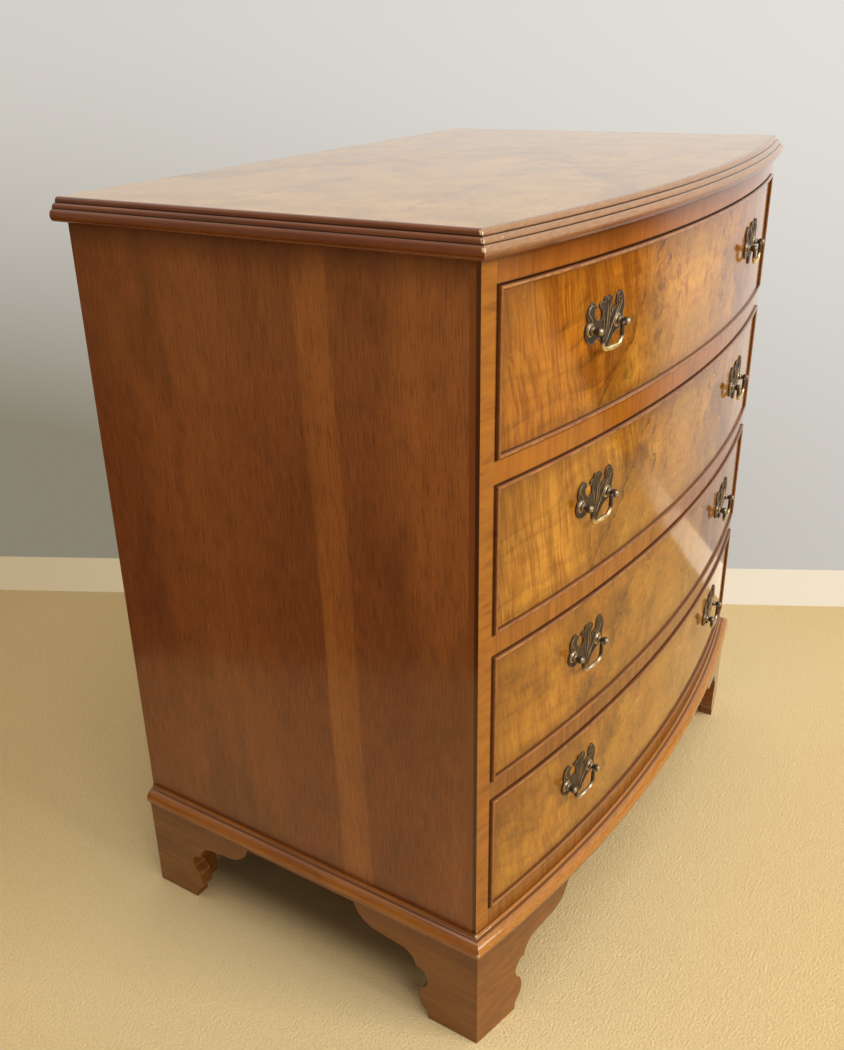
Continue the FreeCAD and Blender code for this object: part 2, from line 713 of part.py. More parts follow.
def build_handles(name, low, high, plate, hardware, loop):
    """Both handles of one drawer: plates, posts with their nuts, and a bail for each."""
    plates = []
    posts = []
    for side, word in ((-1, "left"), (1, "right")):
        plates.append(place_handle(plate, side, low, high))
        posts += [place_handle(piece, side, low, high) for piece in hardware]
        write(name + "bail_" + word, place_handle(loop, side, low, high))
    write(name + "handle_plates", plates)
    write(name + "handle_posts", posts)


def build_drawer(name, low, high):
    front, left, right, back, bottom = drawer_wood(low, high)
    write(name + "front", front.cut(handle_holes(low, high)).Solids[0])
    write(name + "side_left", left)
    write(name + "side_right", right)
    write(name + "back", back)
    write(name + "bottom", bottom)
    write(name + "cockbead", cockbead(low, high))


def main():
    os.makedirs("parts", exist_ok=True)
    build_carcass()
    plate = backplate()
    hardware = [post(-1), post(1), nut(-1), nut(1)]
    loop = bail()
    for number, (low, high) in enumerate(drawer_levels(), start=1):
        name = "drawer_%d_" % number
        build_drawer(name, low, high)
        build_handles(name, low, high, plate, hardware, loop)


main()
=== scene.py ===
"""Bow front chest of drawers in figured walnut: finishes, brass handles, room, lights and camera."""
import json
import logging
import math
from collections.abc import Callable
from dataclasses import dataclass, replace
from enum import Enum
from functools import reduce

import bmesh
import bpy
from mathutils import Matrix, Vector

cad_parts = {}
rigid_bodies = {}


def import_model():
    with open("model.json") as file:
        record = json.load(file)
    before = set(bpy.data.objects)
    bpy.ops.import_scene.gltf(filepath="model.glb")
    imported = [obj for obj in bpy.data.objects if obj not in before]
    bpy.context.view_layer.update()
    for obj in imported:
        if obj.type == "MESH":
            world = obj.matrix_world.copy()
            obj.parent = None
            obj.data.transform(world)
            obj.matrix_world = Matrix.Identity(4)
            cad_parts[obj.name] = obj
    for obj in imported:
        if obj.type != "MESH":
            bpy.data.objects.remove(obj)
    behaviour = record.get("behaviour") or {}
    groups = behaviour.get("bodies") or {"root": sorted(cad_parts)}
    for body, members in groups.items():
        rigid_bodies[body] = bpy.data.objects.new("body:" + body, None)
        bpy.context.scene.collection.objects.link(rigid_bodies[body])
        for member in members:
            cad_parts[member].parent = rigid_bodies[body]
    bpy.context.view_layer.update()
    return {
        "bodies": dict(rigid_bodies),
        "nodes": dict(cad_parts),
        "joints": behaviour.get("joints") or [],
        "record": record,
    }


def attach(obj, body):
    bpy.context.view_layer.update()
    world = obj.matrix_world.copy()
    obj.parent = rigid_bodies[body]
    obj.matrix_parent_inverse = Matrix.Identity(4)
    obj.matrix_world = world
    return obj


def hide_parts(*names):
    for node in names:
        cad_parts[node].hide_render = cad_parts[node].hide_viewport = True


LOG = logging.getLogger("chest")
Colour = tuple[float, float, float]
Place = tuple[float, float, float]
Thing = bpy.types.Object
Finish = bpy.types.Material
Shape = bmesh.types.BMesh
MM = 0.001

HALF_WIDTH = 0.3785
BOW_RISE = 0.041
BOW_RADIUS = (HALF_WIDTH ** 2 + BOW_RISE ** 2) / (2 * BOW_RISE)
CORNER_Y = -0.20725
BOW_CENTRE_Y = CORNER_Y - BOW_RISE + BOW_RADIUS
BOARD = 0.018
VENEER = 0.0010                 # thickness of a leaf of veneer
TOP_FACE_Z = 0.840
DRAWER_LEVELS = ((0.1657, 0.3032), (0.3244, 0.4644), (0.4856, 0.6306), (0.6518, 0.7968))
FRONT_GAP = 0.0012
BEAD_REACH = (0.0055, 0.0045)   # from a drawer opening's edge to its cockbead's inner edge, aside and above
MITRE_TURN = (0.627, 0.779)     # square to the corner mitres of a moulding, outwards and backwards
HANDLE_OFFSET = 0.210
HANDLE_RAISE = 0.010
POST_SPACING = 0.0464
WEAR = "worn"


class Run(Enum):
    """Which way the grain of a board runs."""

    UPRIGHT = "z"
    ACROSS = "x"
    DEEP = "y"

    def scale(self, along: float) -> Place:
        """A scale for patterns, with another one along the grain."""
        return tuple(along if axis == self.value else 1.0 for axis in "xyz")


class Flow:
    """What leaves a node: a number that adds and multiplies as in plain sums, a place or a colour."""

    def __init__(self, bench: "Nodes", socket: bpy.types.NodeSocket) -> None:
        """Keeps the output, and the nodes that it is one of."""
        self.bench = bench
        self.socket = socket

    def __add__(self, other: "Value") -> "Flow":
        """Adds a number."""
        return self.bench.sums("ADD", self, other)

    def __sub__(self, other: "Value") -> "Flow":
        """Takes a number away."""
        return self.bench.sums("SUBTRACT", self, other)

    def __rsub__(self, other: float) -> "Flow":
        """Is taken from a number."""
        return self.bench.sums("SUBTRACT", other, self)

    def __mul__(self, other: "Value") -> "Flow":
        """Multiplies by a number."""
        return self.bench.sums("MULTIPLY", self, other)

    def __abs__(self) -> "Flow":
        """Drops its sign."""
        return self.bench.sums("ABSOLUTE", self)

    def step(self, low: float, high: float, smooth: bool = True) -> "Flow":
        """Rises from 0 to 1 while this goes from low to high."""
        feeds = {"Value": self, "From Min": low, "From Max": high}
        return self.bench.lay("MapRange", feeds, "Result", interpolation_type="SMOOTHSTEP" if smooth else "LINEAR")

    def between(self, low: float, high: float, start: float = 0.0, end: float = 1.0) -> "Flow":
        """Goes from low to high while this goes from start to end."""
        feeds = {"Value": self, "From Min": start, "From Max": end, "To Min": low, "To Max": high}
        return self.bench.lay("MapRange", feeds, "Result")

    def ramp(self, stops: list[tuple[float, Colour | float]]) -> "Flow":
        """Turns a number into a colour.

        Args:
            stops: Places on the ramp from 0 to 1, each with a grey or a colour.

        Returns:
            The colour.
        """
        node = self.bench.node("ValToRGB", {0: self})
        elements = node.color_ramp.elements
        while len(elements) < len(stops):
            elements.new(0.5)
        for element, (position, shade) in zip(elements, stops):
            element.position = position
            element.color = (*shade, 1.0) if isinstance(shade, tuple) else (shade, shade, shade, 1.0)
        return Flow(self.bench, node.outputs[0])

    def stained(self, *coats: tuple["Shade", "Value"]) -> "Flow":
        """Lays other colours over this one in turn, each by its share from 0 to 1."""
        return reduce(lambda under, coat: self.bench.blend(coat[1], under, coat[0]), coats, self)

    def stretch(self, scale: Place) -> "Flow":
        """Multiplies a place by a scale along each axis."""
        return self.bench.lay("VectorMath", {0: self, 1: scale}, operation="MULTIPLY")

    def moved(self, way: "Shade") -> "Flow":
        """Adds another place to a place."""
        return self.bench.lay("VectorMath", {0: self, 1: way}, operation="ADD")

    def cloud(self, scale: float, detail: float = 2.0, rough: float = 0.5, swirl: float = 0.0) -> "Flow":
        """Reads soft noise from 0 to 1: lumps to the metre, finer layers, how rough they are, how far it is folded."""
        feeds = {"Vector": self, "Scale": scale, "Detail": detail, "Roughness": rough, "Distortion": swirl}
        return self.bench.lay("TexNoise", feeds, "Fac")

    def streaks(self, scale: Place, detail: float = 2.0, rough: float = 0.5) -> "Flow":
        """Reads soft noise with its own number of lumps to the metre along each axis."""
        return self.stretch(scale).cloud(1.0, detail, rough)

    def drift(self, scale: float, reach: float, detail: float = 2.0) -> "Flow":
        """Moves a place about by soft noise.

        Args:
            scale: Lumps to the metre.
            reach: How far it moves, in metres.
            detail: How many finer layers the noise has.

        Returns:
            The moved place.
        """
        colour = self.bench.lay("TexNoise", {"Vector": self, "Scale": scale, "Detail": detail}, "Color")
        centred = self.bench.lay("VectorMath", {0: colour, 1: (0.5, 0.5, 0.5)}, operation="SUBTRACT")
        return self.moved(self.bench.lay("VectorMath", {0: centred, "Scale": reach}, operation="SCALE"))

    def relief(self, metres: float, under: "Flow | None" = None) -> "Flow":
        """Bends the surface, and any relief under it, as if this were its height in so many metres."""
        feeds = {"Height": self, "Distance": metres, "Strength": 1.0}
        return self.bench.lay("Bump", feeds if under is None else {**feeds, "Normal": under})


Value = Flow | float
Shade = Flow | Colour


class Nodes:
    """A node tree, with short ways to lay nodes and join them."""

    def __init__(self, tree: bpy.types.NodeTree) -> None:
        """Empties a tree and keeps it."""
        self.tree = tree
        tree.nodes.clear()

    def node(self, kind: str, feeds: dict | None = None, **options: object) -> bpy.types.Node:
        """Adds one node.

        Args:
            kind: The node's type, without its ShaderNode prefix.
            feeds: A value or a flow for each input, by name or place.
            options: The node's own options.

        Returns:
            The new node.
        """
        node = self.tree.nodes.new("ShaderNode" + kind)
        for option, value in options.items():
            setattr(node, option, value)
        for socket, value in (feeds or {}).items():
            self.feed(node.inputs[socket], value)
        return node

    def lay(self, kind: str, feeds: dict | None = None, output: int | str = 0, **options: object) -> Flow:
        """Adds one node and takes one of its outputs."""
        return Flow(self, self.node(kind, feeds, **options).outputs[output])

    def feed(self, socket: bpy.types.NodeSocket, value: object) -> None:
        """Joins a flow to an input, or sets the input's own value.

        Args:
            socket: The input.
            value: A flow, a number or a colour.
        """
        if isinstance(value, Flow):
            self.tree.links.new(value.socket, socket)
        elif isinstance(value, tuple) and len(socket.default_value) == 4:
            socket.default_value = (*value, 1.0)
        else:
            socket.default_value = value

    def sums(self, operation: str, a: Value, b: Value = 0.0) -> Flow:
        """Does one step of arithmetic, by Blender's name for it."""
        return self.lay("Math", {0: a, 1: b}, operation=operation)

    def most(self, *values: Value) -> Flow:
        """Takes the greatest of some numbers."""
        return reduce(lambda a, b: self.sums("MAXIMUM", a, b), values)

    def least(self, *values: Value) -> Flow:
        """Takes the smallest of some numbers."""
        return reduce(lambda a, b: self.sums("MINIMUM", a, b), values)

    def point(self, x: Value, y: Value, z: Value) -> Flow:
        """Joins three numbers into one place."""
        return self.lay("CombineXYZ", {0: x, 1: y, 2: z})

    def split(self, place: Flow) -> list[Flow]:
        """Takes a place apart into its three numbers."""
        return [Flow(self, part) for part in self.node("SeparateXYZ", {0: place}).outputs]

    def seen(self, *ways: str) -> list[Flow]:
        """Gives 1 to the eye, to mirrors or whatever else the rays are named for, and 0 to all others."""
        rays = self.node("LightPath").outputs
        return [Flow(self, rays[f"Is {way} Ray"]) for way in ways]

    def blend(self, share: Value, a: Shade, b: Shade) -> Flow:
        """Mixes two colours, from all of the first at 0 to all of the second at 1."""
        return self.lay("Mix", {0: share, 6: a, 7: b}, 2, data_type="RGBA")


class Bench(Nodes):
    """The node tree of one material."""

    def __init__(self, name: str) -> None:
        """Starts a material of one shader, with the places that patterns are read from."""
        self.material = bpy.data.materials.new(name)
        self.material.use_nodes = True
        super().__init__(self.material.node_tree)
        self.shader = self.node("BsdfPrincipled")
        self.end = self.node("OutputMaterial")
        self.tree.links.new(self.shader.outputs[0], self.end.inputs["Surface"])
        self.place = self.lay("TexCoord", output="Object")
        self.x, self.y, self.z = self.split(self.place)

    def finish(self, **values: object) -> Finish:
        """Sets the shader's inputs, by their names with underscores for spaces."""
        for name, value in values.items():
            self.feed(self.shader.inputs[name.replace("_", " ")], value)
        return self.material

    def glow(self, colour: Shade, shown: Flow, strength: Value = 1.0) -> Finish:
        """Makes the surface shine by itself where it is shown, and clear elsewhere.

        Args:
            colour: Its colour.
            shown: 1 where and to whom it is shown.
            strength: How bright it is.

        Returns:
            The material.
        """
        light = self.lay("Emission", {"Color": colour, "Strength": strength})
        mixed = self.lay("MixShader", {0: shown, 1: self.lay("BsdfTransparent"), 2: light})
        self.feed(self.end.inputs["Surface"], mixed)
        self.tree.nodes.remove(self.shader)
        return self.material


def polish(bench: Bench, colour: Flow, grain: Flow, gloss: float = 0.09) -> Finish:
    """Adds the shellac over a wood: thin pores, a faint wave, and a wood that shines only through its coat.

    Args:
        bench: The material.
        colour: The wood's colour.
        grain: Fine grain from 0 to 1, pressed in as pores.
        gloss: How rough the coat is.

    Returns:
        The finished material.
    """
    wave = bench.place.cloud(9.0, 1.0).relief(0.0006)
    rough = bench.place.cloud(16.0, 3.0, 0.6).between(0.36, 0.50)
    return bench.finish(Base_Color=colour, Roughness=rough, Normal=grain.relief(0.00005, wave), Specular_IOR_Level=0.0,
                        Coat_Weight=1.0, Coat_Roughness=gloss, Coat_IOR=1.5, Coat_Normal=wave)


def on_core(bench: Bench, face: Flow, shown: Flow) -> Flow:
    """Lays a veneer's colour on the plain walnut core of a board, where it is shown."""
    core = bench.blend(bench.place.streaks((14.0, 300.0, 300.0), 3.0), (0.30, 0.15, 0.07), (0.46, 0.26, 0.13))
    return core.stained((face, shown))


def bow_radius(bench: Bench) -> Flow:
    """Measures the distance from the upright axis that the front is bowed about."""
    back = bench.y - BOW_CENTRE_Y
    return bench.sums("SQRT", back * back + bench.x * bench.x)


def inside_frame(bench: Bench, frame: tuple[float, float, float]) -> tuple[Flow, Flow]:
    """Measures how far a point lies from the nearer side and the nearer end of an upright frame."""
    half, low, high = frame
    return half - abs(bench.x), bench.least(bench.z - low, high - bench.z)


class Leaf:
    """The noises that all parts of a figured leaf are read from, so that they bend together."""

    def __init__(self, bench: Bench, out: Flow, up: Flow, seed: float) -> None:
        """Lays the noises.

        Args:
            bench: The material.
            out: Distance from the join.
            up: Height over the middle of the leaf.
            seed: Tells one leaf from another.
        """
        self.bench, self.out, self.up = bench, out, up
        self.flat = bench.point(out, up, seed)
        self.bent = self.flat.drift(9.0, 0.05, 3.0)
        self.curled = self.bent.drift(42.0, 0.016, 3.0)
        self.burr = self.curled.cloud(60.0, 4.0, 0.66, 1.4)
        self.clouds = self.bent.cloud(15.0, 3.0, 0.55)
        wide = self.clouds * 0.12 + (up * 0.8 + out)
        self.outer = wide.step(0.17, 0.26)
        self.lean = abs(wide - 0.205)

    def ripples(self, silk: float) -> Flow:
        """Lays the upright silky ripples of the outer part.

        Args:
            silk: How strong they are.

        Returns:
            The ripples, light at 1.
        """
        lean = self.bench.lay("VectorRotate", {"Vector": self.flat.drift(10.0, 0.022), "Angle": 0.17},
                              rotation_type="Z_AXIS")
        narrow = lean.streaks((460.0, 26.0, 40.0), 2.0, 0.55)
        broad = lean.streaks((90.0, 12.0, 40.0))
        soft = 0.22 - 0.11 * silk
        return (narrow * 0.5 + broad * 0.5).step(0.5 - soft, 0.5 + soft)

    def arcs(self) -> Flow:
        """Lays thin dark growth lines that run outwards in long arcs.

        Returns:
            The lines, dark at 1.
        """
        swell = self.flat.drift(14.0, 0.012).streaks((3.2, 6.5, 12.0), 2.0, 0.45)
        ring = self.bench.sums("FRACT", swell * 9.0 + self.up * 58.0)
        line = ring.ramp([(0.0, 0.9), (0.06, 0.45), (0.35, 0.12), (0.70, 0.0), (0.90, 0.20), (0.97, 0.9)])
        return line * self.flat.streaks((14.0, 30.0, 30.0)).step(0.38, 0.64)

    def vein(self, rise: float, at: float, seed: float) -> Flow:
        """Lays one dark vein that wanders up the leaf, with a soft shade on its outer side.

        Args:
            rise: How much it leans towards the join with its height.
            at: How far out it lies.
            seed: Tells one vein's wandering from another's.

        Returns:
            The vein, dark at 1.
        """
        moved = self.flat.moved((0.0, 0.0, seed))
        wander = moved.cloud(55.0, 4.0, 0.62, 0.8) * 0.036 + moved.cloud(13.0) * 0.075
        share = (self.up * rise + self.out + wander - (at + 0.0555)) * 10.0 + 0.5
        line = share.ramp([(0.475, 0.0), (0.49, 0.5), (0.497, 1.0), (0.506, 0.95), (0.525, 0.42), (0.60, 0.26),
                           (0.80, 0.10), (0.98, 0.0)])
        return line * moved.cloud(30.0, 3.0, 0.6).step(0.38, 0.55)

    def crinkles(self) -> Flow:
        """Lays short curled lines along the edge of the burr, dark at 1."""
        line = self.curled.cloud(26.0, 2.0, 0.55, 0.8).ramp([
            (0.42, 0.0), (0.475, 0.35), (0.495, 0.85), (0.51, 0.6), (0.54, 0.22), (0.60, 0.0)])
        return line * (self.lean.step(0.11, 0.02) * self.flat.cloud(34.0).step(0.44, 0.60))


@dataclass(frozen=True)
class FiguredVeneer:
    """Two leaves of burr walnut opened like a book from one join."""

    name: str
    leaf: float
    middle: float
    strength: float
    light: Colour
    join: float = -0.004
    shade: float = 0.42
    rim: float = 0.60
    speckle: float = 0.34
    silk: float = 1.0
    band: float = 0.50
    frame: tuple[float, float, float] | None = None
    gold: Colour = (0.70, 0.365, 0.042)
    mid: Colour = (0.34, 0.118, 0.008)
    deep: Colour = (0.145, 0.046, 0.005)
    vein: Colour = (0.060, 0.020, 0.005)
    spark: Colour = (0.86, 0.50, 0.085)

    def ground(self, leaf: Leaf) -> Flow:
        """Lays the golden burr, the silky outer part and their broad shadows.

        Args:
            leaf: The leaf's noises.

        Returns:
            The colour.
        """
        lumps = leaf.curled.cloud(30.0)
        flecks = leaf.curled.streaks((240.0, 150.0, 150.0), 3.0, 0.65)
        golden = (leaf.burr.step(0.34, 0.66) * self.speckle + lumps.step(0.36, 0.64) * 0.42
                  + flecks.step(0.36, 0.64) * (0.58 - self.speckle))
        silk = leaf.ripples(self.silk)
        inside = leaf.bench.blend(golden, self.mid, self.gold)
        outside = leaf.bench.blend(silk * 0.75 + golden * 0.25, self.mid, self.light)
        shade = (leaf.burr * 0.45 + leaf.clouds).step(0.66, 0.88)
        band = leaf.lean.step(0.060, 0.0) * (leaf.burr * 0.5 + leaf.clouds * 0.6).step(0.42, 0.68)
        rim = (leaf.up * 0.7 + leaf.out).step(0.25, 0.42)
        bars = leaf.flat.drift(8.0, 0.03).streaks((9.0, 62.0, 1.0)).step(0.50, 0.76)
        shadows = (shade * self.shade, band * (self.band * self.strength), rim * self.rim,
                   bars * (leaf.outer * (0.24 * self.silk) + 0.10 * self.silk),
                   silk.step(0.55, 0.0) * (leaf.outer * (0.20 * self.silk)))
        return inside.stained((outside, leaf.outer), *((self.deep, share) for share in shadows))

    def colour(self, bench: Bench, out: Flow, up: Flow) -> tuple[Flow, Flow]:
        """Lays the whole figure.

        Args:
            bench: The material.
            out: Distance from the join.
            up: Height over the middle of the leaf.

        Returns:
            The colour, and the fine grain from 0 to 1.
        """
        leaf = Leaf(bench, out, up, self.leaf * 0.017)
        veins = bench.most(leaf.vein(0.8, 0.146, 0.4), leaf.vein(0.12, 0.082, 0.9), leaf.vein(0.35, 0.045, 1.7) * 0.6)
        threads = leaf.curled.streaks((420.0, 60.0, 1.0), 3.0, 0.65)
        fine = leaf.bent.streaks((900.0, 110.0, 1.0), 2.0, 0.6)
        colour = self.ground(leaf).stained(
            (self.vein, leaf.arcs() * (leaf.outer * (0.34 * self.silk) + 0.10)),
            (self.vein, veins * (0.95 * self.strength)),
            (self.vein, leaf.crinkles() * (0.60 * self.strength)),
            (self.deep, threads.step(0.55, 0.68) * 0.34),
            (self.spark, threads.step(0.44, 0.34) * leaf.burr.step(0.42, 0.58) * 0.14),
            (self.vein, fine.step(0.56, 0.74) * 0.34),
        )
        return colour, fine

    def grime(self, bench: Bench, colour: Flow) -> Flow:
        """Darkens the veneer in a soft band along the cockbead, and in a thin dark line at its edge.

        Args:
            bench: The material.
            colour: The veneer's colour.

        Returns:
            The colour with its dark edge.
        """
        inside = bench.least(*inside_frame(bench, self.frame))
        uneven = bench.place.cloud(60.0, 3.0, 0.6) * 0.006 + inside
        # The soft band darkens the veneer towards the cockbead all round; the thin line is the dark joint at the bead.
        return colour.stained((self.deep, uneven.step(0.021, 0.002) * 0.42),
                              (self.vein, inside.step(0.0017, 0.0007) * 0.85))

    def dress(self) -> Finish:
        """Lays the veneer on the bowed face, with bare walnut core behind it.

        Returns:
            The material.
        """
        bench = Bench(self.name)
        colour, fine = self.colour(bench, abs(bench.x - self.join), bench.z - self.middle)
        if self.frame is not None:
            colour = self.grime(bench, colour)
        face = bow_radius(bench).step(BOW_RADIUS - 1.1 * VENEER, BOW_RADIUS - 0.9 * VENEER, False)
        return polish(bench, on_core(bench, colour, face), fine)


def drawer_veneer(number: int) -> FiguredVeneer:
    """The leaf on one drawer front, each a little further into the log than the one above.

    Args:
        number: The drawer, from the bottom up.

    Returns:
        The veneer.
    """
    low, high = DRAWER_LEVELS[number - 1]
    aside, above = BEAD_REACH
    frame = (HALF_WIDTH - BOARD - aside, low + above, high - above)
    veneer = FiguredVeneer(f"veneer_{number}", 5.0 - number, (low + high) / 2, (0.55, 0.7, 0.9, 1.0)[number - 1],
                           light=(0.63, 0.285, 0.029), silk=0.85, frame=frame)
    if number == 4:
        return replace(veneer, mid=(0.33, 0.092, 0.006), light=(0.55, 0.202, 0.016), gold=(0.80, 0.40, 0.045),
                       silk=1.1, band=0.22)
    if number < 3:
        return replace(veneer, mid=(0.34, 0.124, 0.011), light=(0.51, 0.228, 0.022), gold=(0.51, 0.252, 0.027),
                       silk=0.55, shade=0.60)
    return veneer


@dataclass(frozen=True)
class TopVeneer:
    """Figured walnut on the flat top, opened from a join that runs from side to side."""

    name: str = "top_veneer"
    join: float = -0.010
    inset: float = 0.0045
    finer: float = 1.5
    figure: FiguredVeneer = FiguredVeneer(
        "figure", 7.1, 0.0, strength=0.90, light=(0.56, 0.285, 0.055), shade=0.36, rim=0.0, speckle=0.16,
        gold=(0.60, 0.325, 0.070), mid=(0.40, 0.178, 0.026))

    def joint(self, bench: Bench) -> Flow:
        """Finds the thin joint between the panel and the moulding round it, dark at 1."""
        edges = ((bow_radius(bench), BOW_RADIUS), (abs(bench.x), HALF_WIDTH))
        return bench.most(*(reach.step(edge - self.inset - 0.0013, edge - self.inset - 0.0004)
                            for reach, edge in edges))

    def dress(self) -> Finish:
        """Lays the veneer.

        Returns:
            The material.
        """
        bench = Bench(self.name)
        colour, fine = self.figure.colour(bench, abs(bench.y - self.join) * self.finer, bench.x * self.finer)
        colour = colour.stained((self.figure.vein, self.joint(bench) * 0.85))
        face = bench.z.step(TOP_FACE_Z - 1.1 * VENEER, TOP_FACE_Z - 0.9 * VENEER, False)
        return polish(bench, on_core(bench, colour, face), fine, 0.08)


@dataclass(frozen=True)
class StripedVeneer:
    """Straight grained walnut on a side, joined from upright leaves of different tones."""

    name: str = "side_veneer"
    lean: float = 0.03
    dark: Colour = (0.250, 0.072, 0.020)
    mid: Colour = (0.330, 0.104, 0.027)
    light: Colour = (0.425, 0.144, 0.032)
    # The colour of the painted sheen on the upper part of the side.
    painted_sheen: Colour = (0.46, 0.175, 0.062)
    pore: Colour = (0.065, 0.021, 0.009)

    def leaves(self, bench: Bench, across: Flow) -> Flow:
        """Joins the leaves from the front to the back, as yet without their grain, and paints a reflection on them: a
        lighter band at the front, stronger higher up.
        """
        leaves = ((across + 0.21) * (1 / 0.46)).ramp([
            (0.0, self.mid), (0.10, self.mid), (0.19, self.dark), (0.318, self.dark), (0.326, self.light),
            (0.398, self.light), (0.406, self.dark), (0.52, self.dark), (0.66, self.mid), (0.82, self.mid),
            (0.96, self.dark)])
        # Painted reflection: the front band of the side is lightened, more so higher up.
        return leaves.stained((self.light, bench.y.step(-0.100, -0.150) * bench.z.step(0.35, 0.68) * 0.9))

    def marks(self, bench: Bench) -> Flow:
        """Lays short dark marks across the grain, and painted shade under the top moulding and over the base moulding.

        Args:
            bench: The material.

        Returns:
            The marks, dark at 1.
        """
        face = bench.point(0.0, bench.y, bench.z).drift(9.0, 0.05, 3.0)
        where = bench.place.streaks((0.0, 5.0, 7.0), 1.0).step(0.50, 0.68)
        crossing = face.streaks((1.0, 7.0, 20.0), 4.0, 0.6).step(0.48, 0.78) * where * 0.7
        # The two steps in height are painted shade under the top moulding and over the base moulding.
        return bench.most(crossing, bench.z.step(0.785, 0.818), bench.z.step(0.165, 0.144) * 0.6)

    def dress(self) -> Finish:
        """Lays the leaves and their grain, with bare walnut core behind them.

        Returns:
            The material.
        """
        bench = Bench(self.name)
        sway = bench.place.streaks((0.0, 2.0, 2.0)) * 0.02
        across = bench.y - (bench.z - 0.82) * self.lean + (sway - 0.01)
        face = bench.point(0.0, across, bench.z)
        thin = face.drift(5.0, 0.004).streaks((1.0, 760.0, 36.0), 3.0, 0.65)
        fleck = face.streaks((1.0, 1300.0, 110.0), 2.0, 0.6)
        # Painted light: the side is paled by a painted sheen higher up, over all but its rear.
        high = bench.z.step(0.40, 0.72) * bench.y.step(0.26, 0.06)
        colour = self.leaves(bench, across).stained(
            (self.dark, face.streaks((1.0, 60.0, 1.6), 4.0, 0.6).step(0.35, 0.70) * 0.45),
            (self.painted_sheen, high * 0.30),
            (self.pore, face.streaks((1.0, 40.0, 15.0), 3.0, 0.6).step(0.42, 0.70) * 0.17),
            (self.pore, thin.step(0.46, 0.68) * 0.42),
            (self.light, thin.step(0.50, 0.30) * 0.34),
            (self.pore, fleck.step(0.58, 0.72) * 0.45),
            (self.pore, face.streaks((1.0, 11.0, 4.0), 3.0, 0.55).step(0.46, 0.74) * 0.42),
            # The marks include the painted shade next to the mouldings, laid in the pore colour.
            (self.pore, self.marks(bench) * 0.55),
        )
        core = bench.blend(thin, (0.34, 0.18, 0.08), (0.50, 0.30, 0.15))
        outside = abs(bench.x).step(HALF_WIDTH - 1.1 * VENEER, HALF_WIDTH - 0.9 * VENEER, False)
        return polish(bench, core.stained((colour, outside)), fleck, 0.16)


